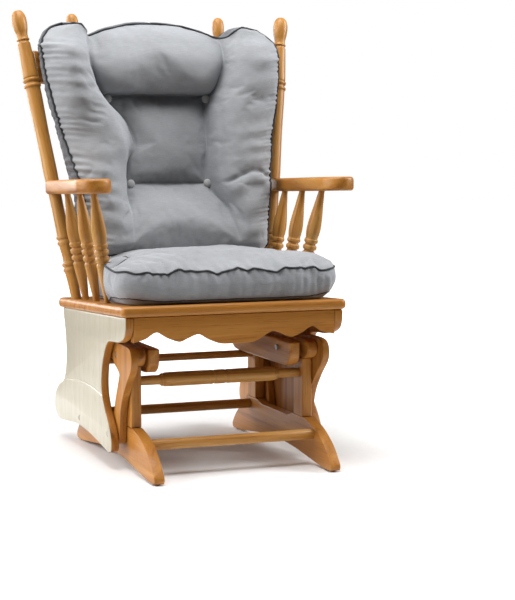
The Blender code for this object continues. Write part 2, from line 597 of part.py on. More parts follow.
# half-width of the middle panels by height, right side then left side
CREASE = {1: ((0.470, 0.150), (0.575, 0.132), (0.643, 0.106), (0.750, 0.111), (0.850, 0.123),
              (0.885, 0.142), (0.950, 0.160), (1.036, 0.170)),
          -1: ((0.470, 0.130), (0.575, 0.121), (0.643, 0.115), (0.700, 0.101), (0.745, 0.078),
               (0.800, 0.100), (0.850, 0.150), (0.885, 0.174), (0.950, 0.192), (1.036, 0.184))}
WIDTH = ((0.470, 0.222), (0.560, 0.233), (0.650, 0.246), (0.750, 0.265), (0.850, 0.288),
         (0.950, 0.304), (1.040, 0.305))
# thickness of the outer edge, between the two sewn seams
EDGE = ((0.470, 0.098), (0.600, 0.104), (0.655, 0.098), (0.705, 0.074), (0.750, 0.054),
        (0.800, 0.050), (0.880, 0.046), (0.960, 0.041), (1.040, 0.034))
# thickness along the two long creases
FLOOR = ((0.470, 0.138), (0.520, 0.137), (0.575, 0.119), (0.643, 0.054), (0.740, 0.060),
         (0.850, 0.040), (0.900, 0.070), (0.960, 0.086), (1.036, 0.060))


def through(points, at):
    """Smooth curve through (place, value) pairs."""
    k = max(n for n in range(len(points) - 1) if points[n][0] <= at or n == 0)
    (x0, y0), (x1, y1) = points[k], points[k + 1]
    before, after = points[max(k - 1, 0)], points[min(k + 2, len(points) - 1)]
    m0 = (y1 - before[1]) / (x1 - before[0])
    m1 = (after[1] - y0) / (after[0] - x0)
    w = x1 - x0
    t = (at - x0) / w
    return ((2 * t ** 3 - 3 * t * t + 1) * y0 + (t ** 3 - 2 * t * t + t) * w * m0
            + (3 * t * t - 2 * t ** 3) * y1 + (t ** 3 - t * t) * w * m1)


def back_half(z):
    w = through(WIDTH, z)
    up = z - (BACK_TOP + 0.002 - BACK_CORNER)
    if up > 0:
        w -= BACK_CORNER - math.sqrt(max(0.0, BACK_CORNER ** 2 - up ** 2))
    return w - 0.012 * (1 - ease((z - BACK_LOW) / 0.022))


def back_rear(x, z):
    hollow = max(0.0, 1 - (x / 0.25) ** 2) * ease((z - 0.50) / 0.12)
    high = max(0.0, 1 - (x / 0.20) ** 2) * ease((z - 0.75) / 0.16)
    return 0.250 + 0.245 * (z - 0.45) - 0.47 * x * x + 0.014 * hollow + 0.010 * high


def arc(t, power=0.5):
    return max(0.0, 4 * t * (1 - t)) ** power


def bolster(t, peak, soft):
    """Cross-section of a side bolster: 0 at the crease, 1 on its crest, 0 at the outer edge."""
    if t < peak:
        s = t / peak
        return (1 - soft) * (1 - (1 - s) ** 2) ** 0.52 + soft * ease(s)
    return (1 - ((t - peak) / (1 - peak)) ** 2) ** 0.62 if t < 1 else 0.0


def back_depth(x, z):
    """Thickness of the cushion: side bolsters, head roll, tufted middle, lower roll."""
    side = 1 if x > 0 else -1
    w, c, a = back_half(z), through(CREASE[side], z), abs(x)
    floor = through(FLOOR, z)
    top = 0.152 - 0.012 * (1 - ease((z - 0.47) / 0.12)) - 0.062 * ease((z - 0.95) / 0.088) ** 1.3
    if a >= c:
        t = min((a - c) / max(w - c, 1e-6), 1.0)
        bottom = floor + (through(EDGE, z) - floor) * ease(t)
        slack = math.exp(-((z - 0.745) / 0.070) ** 2)
        soft = (0.85 if side < 0 else 0.25) * slack
        return bottom + max(top - bottom, 0.0) * bolster(t, 0.40, soft)
    u = a / c
    cross = (1 - u ** 2.4) ** 0.45
    if z >= CROSS_HIGH:
        v = min((z - CROSS_HIGH) / (BACK_TOP + 0.002 - CROSS_HIGH), 1.0)
        swell = 0.040 + 0.108 * arc(v ** 0.80) * (1 - 0.25 * v)
        base = floor * min(1.0, 0.4 + arc(v, 0.4))
        return base + (max(swell, base) - base) * (1 - u ** 5) ** 0.6
    if z >= CROSS_LOW:
        v = (z - CROSS_LOW) / (CROSS_HIGH - CROSS_LOW)
        pad = 0.050 - 0.014 * v + 0.034 * arc(v, 0.45)
        return floor + (pad - floor) * cross if pad > floor else pad
    v = (CROSS_LOW - z) / (CROSS_LOW - BACK_LOW)
    pad = 0.050 + 0.088 * arc(min(v * 0.60, 1.0), 0.55)
    return floor + (pad - floor) * cross


def back_x(i, z):
    """Grid columns keep the two long creases on fixed columns."""
    n = len(WING_STEPS) - 1
    w, left, right = back_half(z), through(CREASE[-1], z), through(CREASE[1], z)
    if i < n:
        return -w + (w - left) * WING_STEPS[i]
    if i <= n + MID_STEPS:
        return -left + (left + right) * (i - n) / MID_STEPS
    return w - (w - right) * WING_STEPS[COLS - i]


def settled(x, z):
    """Arched top edge: a roll between two bolsters."""
    a = abs(x)
    drop = 0.036 * (a / 0.168) ** 2.2 - 0.010 if a < 0.168 else \
        0.026 - 0.026 * ease((a - 0.168) / 0.045)
    return z - drop * ease((z - 0.90) / 0.136)


def back_point(u, v, front):
    z = BACK_Z[int(round(v * (len(BACK_Z) - 1)))]
    x = back_x(int(round(u * COLS)), z)
    y = back_rear(x, z)
    if front:
        y -= back_depth(x, z)
    return (x, y, settled(x, z))


back_cushion = shell("back_cushion", lambda u, v: back_point(u, v, True),
                     lambda u, v: back_point(u, v, False), COLS, len(BACK_Z) - 1,
                     cloth("back_cushion"), seat)


def cover_y(x, z):
    """Front of the cushion mesh at a point, between its grid lines."""
    j = max(k for k in range(len(BACK_Z) - 1) if BACK_Z[k] <= z)
    t = (z - BACK_Z[j]) / (BACK_Z[j + 1] - BACK_Z[j])
    ys = []
    for row in (j, j + 1):
        xs = [back_x(i, BACK_Z[row]) for i in range(COLS + 1)]
        i = max(k for k in range(COLS) if xs[k] <= x)
        a = back_point(i / COLS, row / (len(BACK_Z) - 1), True)
        b = back_point((i + 1) / COLS, row / (len(BACK_Z) - 1), True)
        f = (x - xs[i]) / (xs[i + 1] - xs[i])
        ys.append(a[1] + f * (b[1] - a[1]))
    return ys[0] + t * (ys[1] - ys[0])


for bx, bz in BUTTONS:
    for side, tag in ((-1, "l"), (1, "r")):
        where = "low" if bz < 0.75 else "high"
        x = side * bx
        ring = [(x + 0.011 * math.cos(k), bz + 0.011 * math.sin(k)) for k in range(24)]
        y = min(cover_y(*p) for p in ring + [(x, bz)])
        centre = Vector((x, y - 0.0034, bz))
        turned("button_" + where + "_" + tag,
               [(0.0, 0.0080), (0.0018, 0.0100), (0.0036, 0.0086), (0.0046, 0.0050)],
               centre + Vector((0, 0.0022, 0)), centre + Vector((0, -0.01, -0.002)),
               cloth("button_" + where + "_" + tag), parent=seat, sides=10)

# ---- the middle of the overall depth goes onto the origin ----
for ob in list(parts.objects) + list(cutters.objects):
    if ob.parent is None:
        ob.location.y -= MIDDLE_Y
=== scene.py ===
"""Looks of the glider nursery chair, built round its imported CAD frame.

Front faces -Y, up is +Z, the floor is z = 0, and _l is the -X side. Lengths are in metres.
Shapes are written in the frame of the CAD source's drawing, whose y = 0 lies MIDDLE_Y in front of
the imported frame's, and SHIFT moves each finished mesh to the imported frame.
"""
import math

import bmesh
import bpy
import numpy as np
from mathutils import Matrix, Vector, noise
from mathutils.bvhtree import BVHTree


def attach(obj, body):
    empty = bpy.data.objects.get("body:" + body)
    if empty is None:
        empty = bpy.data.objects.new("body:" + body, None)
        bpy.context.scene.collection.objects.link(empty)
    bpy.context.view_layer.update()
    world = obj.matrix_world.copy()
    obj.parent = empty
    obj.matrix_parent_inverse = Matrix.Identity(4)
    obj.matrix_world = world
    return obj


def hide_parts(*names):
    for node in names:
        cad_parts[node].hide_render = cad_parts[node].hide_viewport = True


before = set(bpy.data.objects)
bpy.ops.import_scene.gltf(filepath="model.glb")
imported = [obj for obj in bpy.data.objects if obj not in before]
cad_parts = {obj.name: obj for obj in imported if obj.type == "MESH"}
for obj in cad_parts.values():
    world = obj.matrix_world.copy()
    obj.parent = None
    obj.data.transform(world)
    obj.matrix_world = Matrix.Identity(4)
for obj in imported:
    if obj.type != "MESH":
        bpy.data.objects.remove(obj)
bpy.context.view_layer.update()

# ---- dimensions shared with the CAD source ----
MIDDLE_Y = 0.0536
GAP = 0.0004
DECK_W, DECK_D, DECK_T = 0.54, 0.562, 0.0238
DECK_FRONT_Y, DECK_FRONT_Z, DECK_TILT = -0.25, 0.3887, math.radians(2.85)
PANEL_OUT, PANEL_T = 0.262, 0.02
FRAME_OUT, FRAME_T = 0.2225, 0.0245
LINK_OUT, LINK_T = 0.2402, 0.016
PIVOT_FRONT_Y, PIVOT_REAR_Y, PIVOT_UP_Z, PIVOT_LOW_Z = -0.096, 0.146, 0.264, 0.082
RUNNER_FRONT_Y, RUNNER_REAR_Y, RUNNER_H = -0.322, 0.315, 0.102
STRETCH_LOW = ((-0.216, 0.0725, "front"), (0.19, 0.0845, "rear"))
APRON_Y, APRON_T = -0.24, 0.02
POST_FOOT, POST_TOP = (0.252, 0.1973), (0.3518, 0.3603, 1.07)
SPINDLE_FOOT, SPINDLE_TOP = (0.15, 0.245), (0.198, 0.4216, 1.07)
MID_FOOT = (0.05, 0.253)
CREST_Z, CREST_H, CREST_T = 0.9325, 0.078, 0.02
CREST_END_Y, CREST_BOW, BACK_LEAN = 0.338, 0.072, 0.2315
ARM_TOP_Z, ARM_REF_Y, ARM_TILT, ARM_T = 0.6665, -0.13, math.radians(1.9), 0.033
ARM_FOOT_X, ARM_HEAD_X = 0.24, 0.282
ARM_FOOT_Y, ARM_HEAD_Y = (-0.035, 0.06, 0.155), (-0.072, 0.048, 0.16)
BUTTONS = ((0.106, 0.643), (0.133, 0.852))
SINK = 0.014
TAN = math.tan(DECK_TILT)
SHIFT = Matrix.Translation((0.0, -MIDDLE_Y, 0.0))


def deck_top(y):
    return DECK_FRONT_Z - (y - DECK_FRONT_Y) * TAN


def deck_under(y):
    return deck_top(y) - DECK_T / math.cos(DECK_TILT) - GAP


def ease(t):
    t = min(max(t, 0.0), 1.0)
    return t * t * (3 - 2 * t)


# ---- node-tree helper ----
class Tree:
    """Short way to add and link shader nodes."""

    def __init__(self, name):
        self.mat = bpy.data.materials.new(name)
        self.mat.use_nodes = True
        self.nodes = self.mat.node_tree.nodes
        self.links = self.mat.node_tree.links
        self.shader = self.nodes["Principled BSDF"]

    def feed(self, socket, value):
        if isinstance(value, bpy.types.NodeSocket):
            self.links.new(value, socket)
        else:
            socket.default_value = value

    def node(self, kind, inputs, **props):
        made = self.nodes.new("ShaderNode" + kind)
        for key, value in props.items():
            setattr(made, key, value)
        for key, value in inputs.items():
            self.feed(made.inputs[key], value)
        return made

    def math(self, op, a, b=0.0):
        return self.node("Math", {0: a, 1: b}, operation=op).outputs[0]

    def total(self, *parts):
        """Weighted sum of (value, weight) pairs."""
        scaled = [self.math("MULTIPLY", value, weight) for value, weight in parts]
        out = scaled[0]
        for part in scaled[1:]:
            out = self.math("ADD", out, part)
        return out

    def coord(self, which="Object"):
        return self.node("TexCoord", {}).outputs[which]

    def axes(self, vector):
        return self.node("SeparateXYZ", {"Vector": vector}).outputs

    def stretched(self, vector, scale):
        return self.node("Mapping", {"Vector": vector, "Scale": scale}).outputs[0]

    def noise(self, vector, scale, detail, **more):
        return self.node("TexNoise", {"Vector": vector, "Scale": scale, "Detail": detail,
                                      **more}).outputs["Fac"]

    def ramp(self, fac, stops):
        made = self.node("ValToRGB", {0: fac})
        ramp = made.color_ramp
        while len(ramp.elements) < len(stops):
            ramp.elements.new(0.5)
        for element, (place, colour) in zip(ramp.elements, stops):
            element.position = place
            element.color = (*colour, 1.0)
        return made.outputs["Color"]

    def darkened(self, share, colour, shade):
        """A share of the colour multiplied by the shade."""
        return self.node("Mix", {0: share, 6: colour, 7: shade}, data_type="RGBA",
                         blend_type="MULTIPLY").outputs[2]

    def set(self, **values):
        for key, value in values.items():
            self.feed(self.shader.inputs[key.replace("_", " ")], value)

    def relief(self, height, strength, distance):
        self.set(Normal=self.node("Bump", {"Height": height, "Strength": strength,
                                           "Distance": distance}).outputs[0])


WHITE = (1.0, 1.0, 1.0)
RIB_PITCH = 0.0016
GRAIN_TURN = {"X": (0.0, math.pi / 2, 0.0), "Y": (math.pi / 2, 0.0, 0.0), "Z": (0.0, 0.0, 0.0)}


def wood(name, grain, light, mid, dark, offset=(0.0, 0.0, 0.0), coat=0.17, rough=0.44):
    """Lacquered oak: growth bands, streaks and short pores that run along one axis."""
    t = Tree(name)
    place = t.node("Mapping", {"Vector": t.coord(), "Rotation": GRAIN_TURN[grain],
                               "Location": offset}).outputs[0]
    wander = t.noise(t.stretched(place, (7.0, 7.0, 1.6)), 1.0, 2.0)
    bands = t.noise(t.stretched(place, (34.0, 34.0, 1.3)), 1.0, 5.0,
                    Roughness=0.62, Distortion=0.55)
    rings = t.node("TexWave", {"Vector": t.stretched(place, (16.0, 16.0, 0.55)), "Scale": 0.9,
                               "Distortion": 6.0, "Detail": 3.0, "Detail Scale": 1.4,
                               "Detail Roughness": 0.55},
                   wave_type="BANDS", bands_direction="DIAGONAL").outputs["Fac"]
    pores = t.noise(t.stretched(place, (420.0, 420.0, 17.0)), 1.0, 2.0, Roughness=0.7)
    tone = t.ramp(t.total((bands, 0.62), (rings, 0.3), (wander, 0.16)),
                  [(0.28, light), (0.5, mid), (0.66, mid), (0.84, dark)])
    pit = t.ramp(pores, [(0.34, (0.62, 0.5, 0.38)), (0.44, WHITE)])
    # painted shade darkens the corners; the edges are lighter where they are worn
    corner_shade_and_wear = t.ramp(t.node("NewGeometry", {}).outputs["Pointiness"],
                  [(0.4, (0.72, 0.6, 0.46)), (0.49, WHITE), (0.53, WHITE),
                   (0.64, (1.12, 1.12, 1.1))])
    t.set(Base_Color=t.darkened(0.8, t.darkened(0.55, tone, pit), corner_shade_and_wear), Coat_Weight=coat,
          Coat_Roughness=0.26, Specular_IOR_Level=0.3,
          Roughness=t.math("ADD", t.math("MULTIPLY", bands, 0.2), rough - 0.1))
    t.relief(t.total((pores, 0.6), (bands, 0.4)), 0.22, 0.0006)
    return t.mat


def twill(name, colour, dark, scale=1.0, sheen=0.35):
    """Woven cotton: fine diagonal ribs on every face, melange yarn and soft large-scale shading."""
    t = Tree(name)
    place = t.coord()
    facing = t.axes(t.coord("Normal"))
    x, y, z = t.axes(place)
    pitch = 2 * math.pi / (RIB_PITCH * scale)

    def rib(a, b):
        diagonal = t.math("SINE", t.math("MULTIPLY", t.math("ADD", a, b), pitch))
        cross = t.math("SINE", t.math("MULTIPLY", t.math("SUBTRACT", a, b), pitch * 0.5))
        return t.total((diagonal, 0.7), (cross, 0.3))

    weave = t.total(*((rib(*pair), t.math("MULTIPLY", facing[axis], facing[axis]))
                      for axis, pair in enumerate(((y, z), (x, z), (x, y)))))
    yarn = t.noise(place, 650.0 / scale, 3.0, Roughness=0.7)
    cloudy = t.noise(place, 9.0, 3.0)
    slub = t.noise(t.stretched(place, (60.0, 60.0, 900.0)), 1.0, 1.0)
    fleck = t.total((weave, 0.1), (yarn, 0.45), (slub, 0.25), (cloudy, 0.22))
    t.set(Base_Color=t.ramp(fleck, [(0.28, dark), (0.62, colour)]), Roughness=0.86,
          Sheen_Weight=sheen, Sheen_Roughness=0.45, Sheen_Tint=(0.86, 0.9, 1.0, 1.0))
    t.relief(t.total((weave, 0.5), (yarn, 0.8)), 0.35, 0.0004)
    return t.mat


def plain(name, low, high, rough, metal=0.0):
    """Metal or rubber with fine speckled colour, roughness and surface."""
    t = Tree(name)
    spots = t.noise(t.coord(), 240.0, 3.0)
    t.set(Base_Color=t.ramp(spots, [(0.3, low), (0.7, high)]), Metallic=metal,
          Roughness=t.math("ADD", t.math("MULTIPLY", spots, 0.25), rough - 0.12))
    t.relief(spots, 0.1, 0.0004)
    return t.mat


OAK_LIGHT, OAK_MID, OAK_DARK = (0.5, 0.228, 0.046), (0.385, 0.15, 0.02), (0.19, 0.058, 0.007)
OAK = {axis: wood("oak_along_" + axis.lower(), axis, OAK_LIGHT, OAK_MID, OAK_DARK)
       for axis in "XYZ"}
TURNED = wood("oak_turned", "Z", (0.54, 0.295, 0.085), (0.43, 0.196, 0.038), (0.2, 0.07, 0.01),
              offset=(0.3, 0.2, 0.0))
# a paler, glossier copy of the oak: painted glare of the lights on the lacquered outer faces of the
# side panels
PAINTED_GLARE_OAK = wood("oak_panel_painted_glare", "Z", (0.465, 0.428, 0.338), (0.44, 0.4, 0.305),
            (0.395, 0.35, 0.25), offset=(0.0, 0.4, 0.1), coat=0.5, rough=0.4)
TWILL = twill("grey_twill", (0.312, 0.32, 0.332), (0.203, 0.209, 0.218))
TWILL_DARK = twill("grey_twill_gusset", (0.125, 0.128, 0.136), (0.06, 0.062, 0.068))
CORD = twill("dark_piping", (0.03, 0.031, 0.034), (0.012, 0.012, 0.014), 0.6, 0.1)
BUTTON = twill("button_cover", (0.46, 0.46, 0.45), (0.32, 0.32, 0.32), 0.6)
STEEL = plain("zinc_steel", (0.3, 0.29, 0.27), (0.46, 0.45, 0.43), 0.38, 1.0)
RUBBER = plain("glide_rubber", (0.012, 0.012, 0.012), (0.03, 0.03, 0.03), 0.75)


# ---- mesh helpers ----
def spline(points, per=8):
    """Catmull-Rom curve through the points, ends included."""
    pts = [Vector(p) for p in points]
    pts = [2 * pts[0] - pts[1]] + pts + [2 * pts[-1] - pts[-2]]
    out = []
    for i in range(1, len(pts) - 2):
        a, b, c, d = pts[i - 1:i + 3]
        for k in range(per):
            t = k / per
            out.append(0.5 * (2 * b + (c - a) * t + (2 * a - 5 * b + 4 * c - d) * t * t
                              + (3 * b - a - 3 * c + d) * t ** 3))
    out.append(pts[-2])
    return [tuple(p) for p in out]


def meshed(bm, name):
    mesh = bpy.data.meshes.new(name)
    bm.to_mesh(mesh)
    bm.free()
    return mesh


def smoothed(mesh, sharp=None):
    """Smooth shading, apart from the edges above the sharp angle."""
    mesh.polygons.foreach_set("use_smooth", [True] * len(mesh.polygons))
    if sharp:
        mesh.set_sharp_from_angle(angle=math.radians(sharp))
    return mesh


def applied(ob):
    """A new mesh of the object with its modifiers."""
    return bpy.data.meshes.new_from_object(
        ob.evaluated_get(bpy.context.evaluated_depsgraph_get()))


def evaluated(ob, sharp=38.0):
    """The object's mesh with its modifiers, joined up and smooth apart from its sharp edges."""
    mesh = applied(ob)
    bm = bmesh.new()
    bm.from_mesh(mesh)
    bmesh.ops.remove_doubles(bm, verts=bm.verts, dist=0.00002)
    bm.to_mesh(mesh)
    bm.free()
    return smoothed(mesh, sharp)


def bridge(bm, low, high):
    """Quads between two closed rings of vertices."""
    for k in range(len(low)):
        n = (k + 1) % len(low)
        bm.faces.new([low[k], low[n], high[n], high[k]])


def polyline(curve, points):
    run = curve.splines.new("POLY")
    run.points.add(len(points) - 1)
    for knot, p in zip(run.points, points):
        knot.co = (*p, 1.0)
    return run


def link(name, data):
    ob = bpy.data.objects.new(name, data)
    bpy.context.scene.collection.objects.link(ob)
    return ob


def hand_over(ob, body, slot, *nodes):
    """Ride on the body and stand for the CAD nodes, which are hidden; slot is not used."""
    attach(ob, body)
    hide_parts(*nodes)


def along(a, b):
    """Rotation that turns Z to point from a to b."""
    return (b - a).to_track_quat("Z", "Y").to_matrix().to_4x4()


def rods(items):
    """One cutter mesh of round bars, given as start, end and radius."""
    bm = bmesh.new()
    for start, end, radius in items:
        a, b = Vector(start), Vector(end)
        bmesh.ops.create_cone(bm, cap_ends=True, segments=32, radius1=radius, radius2=radius,
                              depth=(b - a).length,
                              matrix=Matrix.Translation((a + b) / 2) @ along(a, b))
    return meshed(bm, "cutter")


def wire(points, radius, cyclic=False):
    """Round cord through the points, as a mesh."""
    curve = bpy.data.curves.new("wire", "CURVE")
    curve.dimensions = "3D"
    polyline(curve, points).use_cyclic_u = cyclic
    curve.bevel_depth = radius
    curve.bevel_resolution = 3
    curve.use_fill_caps = True
    ob = link("wire", curve)
    mesh = evaluated(ob, 0)
    bpy.data.objects.remove(ob, do_unlink=True)
    return mesh


# turns about Z and then X that stand a flat outline across an axis
TURNS = {"X": (math.pi / 2, math.pi / 2), "Y": (0.0, math.pi / 2), "Z": (0.0, 0.0)}


def board(outline, lo, hi, axis, edge, segments=3, matrix=None, cutters=(), angle=40):
    """Mesh of a board cut to an outline, rounded along its edges, in the CAD source's frame."""
    curve = bpy.data.curves.new("outline", "CURVE")
    curve.dimensions = "2D"
    curve.fill_mode = "BOTH"
    curve.extrude = 0.5 * (hi - lo)
    polyline(curve, [(p[0], p[1], 0.0) for p in outline]).use_cyclic_u = True
    flat = link("outline", curve)
    mesh = evaluated(flat)
    bpy.data.objects.remove(flat, do_unlink=True)
    bm = bmesh.new()
    bm.from_mesh(mesh)
    bmesh.ops.dissolve_limit(bm, angle_limit=0.0005, verts=bm.verts, edges=bm.edges)
    bmesh.ops.recalc_face_normals(bm, faces=bm.faces)
    bm.to_mesh(mesh)
    bm.free()
    ob = link("board", mesh)
    middle = Vector([0.5 * (lo + hi) if a == axis else 0.0 for a in "XYZ"])
    about_z, about_x = TURNS[axis]
    place = (Matrix.Translation(middle)
             @ (Matrix.Rotation(about_z, 4, "Z") @ Matrix.Rotation(about_x, 4, "X")))
    mesh.transform((matrix or Matrix.Identity(4)) @ place)
    round_off = ob.modifiers.new("edge", "BEVEL")
    round_off.width = edge
    round_off.segments = segments
    round_off.limit_method = "ANGLE"
    round_off.angle_limit = math.radians(angle)
    round_off.use_clamp_overlap = True
    tools = []
    for cutter in cutters:
        tool = link("cutter", cutter)
        tool.hide_render = True
        tools.append(tool)
        saw = ob.modifiers.new("cut", "BOOLEAN")
        saw.operation = "DIFFERENCE"
        saw.solver = "EXACT"
        saw.object = tool
    made = evaluated(ob)
    for gone in [ob, *tools]:
        bpy.data.objects.remove(gone, do_unlink=True)
    return made


def wooden(name, mesh, material, body, slot, node, extra=None, where=None):
    """Turn a board's mesh into the shown piece; extra is a second material for some faces."""
    mesh.name = name
    mesh.transform(SHIFT)
    mesh.materials.clear()
    mesh.materials.append(material)
    if extra is not None:
        mesh.materials.append(extra)
        for face in mesh.polygons:
            face.material_index = 1 if where(face) else 0
    hand_over(link(name, mesh), body, slot, node)


def tilted(tilt, thick, front_y, front_z):
    """Placing of a board that leans back from its top front edge."""
    middle = Vector((0.0, front_y - 0.5 * thick * math.sin(tilt),
                     front_z - 0.5 * thick * math.cos(tilt)))
    return Matrix.Translation(middle) @ Matrix.Rotation(-tilt, 4, "X")


def lathe(name, profile, start, end, body, slot, node, material=None, sides=36, per=5):
    """Turned piece whose profile is (distance from start, radius) pairs; local Z is its axis."""
    a, b = Vector(start), Vector(end)
    fine = spline(profile, per) if per > 1 else list(profile)
    rings = [(max(d, profile[0][0]), max(r, 0.0005)) for d, r in fine]
    bm = bmesh.new()
    loops = []
    for d, r in rings:
        loops.append([bm.verts.new((r * math.cos(2 * math.pi * k / sides),
                                    r * math.sin(2 * math.pi * k / sides), d))
                      for k in range(sides)])
    for low, high in zip(loops, loops[1:]):
        bridge(bm, low, high)
    for loop, d, flip in ((loops[0], rings[0][0], True), (loops[-1], rings[-1][0], False)):
        tip = bm.verts.new((0.0, 0.0, d))
        for k in range(sides):
            n = (k + 1) % sides
            bm.faces.new([tip, loop[n], loop[k]] if flip else [tip, loop[k], loop[n]])
    mesh = smoothed(meshed(bm, name), 50)
    mesh.materials.append(material or TURNED)
    ob = link(name, mesh)
    ob.matrix_world = SHIFT @ Matrix.Translation(a) @ along(a, b)
    hand_over(ob, body, slot, node)


# ---- base ----
FOOT = 0.0034
arch = spline([(-0.28, FOOT), (-0.186, 0.0135), (-0.1, 0.0225), (0.0, 0.0265),
               (0.095, 0.0225), (0.18, 0.0135), (0.273, FOOT)])
toe = spline([(RUNNER_FRONT_Y + 0.004, FOOT), (RUNNER_FRONT_Y, 0.012), (-0.316, 0.024),
              (-0.283, 0.056), (-0.227, 0.087), (-0.166, RUNNER_H)])
heel = spline([(0.216, RUNNER_H), (0.232, 0.084), (0.283, 0.05), (0.309, 0.024),
               (RUNNER_REAR_Y, 0.012), (RUNNER_REAR_Y - 0.004, FOOT)])
runner = arch + heel[::-1] + [(0.14, RUNNER_H), (0.112, 0.094), (-0.062, 0.094),
                              (-0.09, RUNNER_H)] + toe[::-1]
link_shape = spline([(-0.03, 0.029), (-0.08, 0.028), (-0.108, 0.022), (-0.12, 0.004),
                     (-0.114, -0.022), (-0.078, -0.058), (-0.046, -0.098), (-0.031, -0.134),
                     (-0.026, -0.168), (-0.024, -0.188), (-0.012, -0.203), (0.004, -0.206),
                     (0.019, -0.198), (0.025, -0.182), (0.024, -0.16), (0.016, -0.13),
                     (0.004, -0.1), (-0.01, -0.074), (-0.022, -0.052), (-0.024, -0.04),
                     (-0.006, -0.03), (0.016, -0.02), (0.027, 0.0), (0.018, 0.02),
                     (0.0, 0.028), (-0.029, 0.029)], 6)[:-1]
panel = [(-0.2435, deck_under(-0.2435)), (-0.243, 0.34)]
panel += spline([(-0.2425, 0.338), (-0.234, 0.322), (-0.215, 0.311), (-0.18, 0.302),
                 (-0.13, 0.299), (-0.096, 0.292), (-0.07, 0.264), (-0.052, 0.23),
                 (-0.046, 0.197), (-0.05, 0.167), (-0.068, 0.138), (-0.098, 0.108),
                 (-0.118, 0.082), (-0.124, 0.06), (-0.119, 0.045), (-0.104, 0.04)], 6)
panel += spline([(-0.084, 0.041), (-0.015, 0.05), (0.08, 0.06), (0.18, 0.063),
                 (0.27, 0.055), (0.335, 0.05), (0.368, 0.058), (0.384, 0.08),
                 (0.377, 0.11), (0.345, 0.136), (0.3, 0.153), (0.274, 0.18),
                 (0.265, 0.225), (0.27, 0.27), (0.286, 0.318)], 6)
panel += [(0.292, deck_under(0.292))]
groove = spline([(0.33, 0.148), (0.27, 0.161), (0.18, 0.17), (0.09, 0.175),
                 (0.01, 0.172), (-0.075, 0.163)], 6)


def bore(out, depth, y, z, radius, past=0.01):
    """Hole along X, from past a board's outer face at x = out to a depth inside it."""
    way = math.copysign(1.0, out)
    return (out - way * depth, y, z), (out + way * past, y, z), radius


for side, tag in ((-1, "l"), (1, "r")):
    lo, hi = sorted((side * FRAME_OUT, side * (FRAME_OUT - FRAME_T)))
    wooden("runner_fine_" + tag, board(runner, lo, hi, "X", 0.0032), OAK["Y"], "base",
           "board_wood", "runner_" + tag)
    lo, hi = sorted((side * LINK_OUT, side * (LINK_OUT - LINK_T)))
    out = side * LINK_OUT
    for yp, where, mirror in ((PIVOT_FRONT_Y, "front", 1), (PIVOT_REAR_Y, "rear", -1)):
        name = "link_" + where + "_" + tag
        outline = [(yp + mirror * a, PIVOT_UP_Z + b) for a, b in link_shape]
        ends = [bore(out, 0.03, yp, PIVOT_UP_Z, 0.00414), bore(out, 0.03, yp, PIVOT_LOW_Z, 0.00363)]
        sink = [bore(out, 0.0052, yp, PIVOT_UP_Z, 0.0076, 0.02)]
        wooden(name + "_fine", board(outline, lo, hi, "X", 0.0036, cutters=[rods(ends), rods(sink)],
                                     angle=50), OAK["Z"], name, "board_wood", name)
    lo, hi = sorted((side * PANEL_OUT, side * (PANEL_OUT - PANEL_T)))
    out = side * PANEL_OUT
    holes = [bore(out, 0.04, yp, PIVOT_LOW_Z, 0.004) for yp in (PIVOT_FRONT_Y, PIVOT_REAR_Y)]
    sink = [bore(out, 0.0042, yp, PIVOT_LOW_Z, 0.0062) for yp in (PIVOT_FRONT_Y, PIVOT_REAR_Y)]
    rut = wire([(out + side * 0.0008, y, z) for y, z in groove], 0.0026)
    # the outward faces of each side panel take the paler oak copy, a painted glare
    wooden("side_panel_fine_" + tag,
           board(panel, lo, hi, "X", 0.0036, cutters=[rods(holes), rods(sink), rut], angle=50),
           OAK["Z"], "seat", "panel_wood", "side_panel_" + tag, PAINTED_GLARE_OAK,
           lambda face, s=side: face.normal.x * s > 0.5 and abs(face.center.x) > PANEL_OUT - 0.004)

half = FRAME_OUT - FRAME_T - GAP
shoulder = [(0.0, 0.0105), (0.03, 0.0112), (0.05, 0.0112), (0.054, 0.0135), (0.057, 0.015),
            (0.06, 0.0135), (0.062, 0.0155), (0.075, 0.0165)]
turnings = shoulder + [(0.165, 0.0165), (0.169, 0.015), (0.173, 0.0165), (0.179, 0.0165),
                       (0.183, 0.015), (0.187, 0.0165)]
low, bar = [(0.0, 0.0115), (0.001, 0.012)], [(0.0, 0.009), (0.001, 0.0095)]
for where, y, z, profile, per in [("low_" + where, y, z, low, 1) for y, z, where in STRETCH_LOW] + [
        ("mid_front", -0.1275, 0.206, turnings, 4), ("up_rear", 0.1775, 0.2145, bar, 1)]:
    lathe("stretcher_%s_fine" % where,
          profile + [(2 * half - d, r) for d, r in reversed(profile)],
          (-half, y, z), (half, y, z), "base", "turned_wood", "stretcher_" + where, per=per)

# ---- seat board and apron ----
deck_shape = []
R = 0.014
for cx, cy, a0 in ((DECK_W / 2 - R, R, -90), (DECK_W / 2 - R, DECK_D - R, 0),
                   (-DECK_W / 2 + R, DECK_D - R, 90), (-DECK_W / 2 + R, R, 180)):
    for k in range(9):
        turn = math.radians(a0 + 11.25 * k)
        deck_shape.append((cx + R * math.cos(turn), cy + R * math.sin(turn)))
deck_place = tilted(DECK_TILT, DECK_T, DECK_FRONT_Y, DECK_FRONT_Z)
x_end = PANEL_OUT - PANEL_T - GAP
right = spline([(0.0, 0.2965), (0.036, 0.2975), (0.06, 0.306), (0.088, 0.3205), (0.114, 0.313),
                (0.134, 0.3055), (0.158, 0.313), (0.188, 0.3285), (0.214, 0.315),
                (x_end, 0.3075)])
scallop = right + [(x_end, deck_under(APRON_Y + APRON_T) - GAP),
                   (-x_end, deck_under(APRON_Y + APRON_T) - GAP)]
scallop += [(-x, z) for x, z in reversed(right)][:-1]
wooden("apron_front_fine", board(scallop, APRON_Y, APRON_Y + APRON_T, "Y", 0.0028, angle=50),
       OAK["X"], "seat", "board_wood", "apron_front")

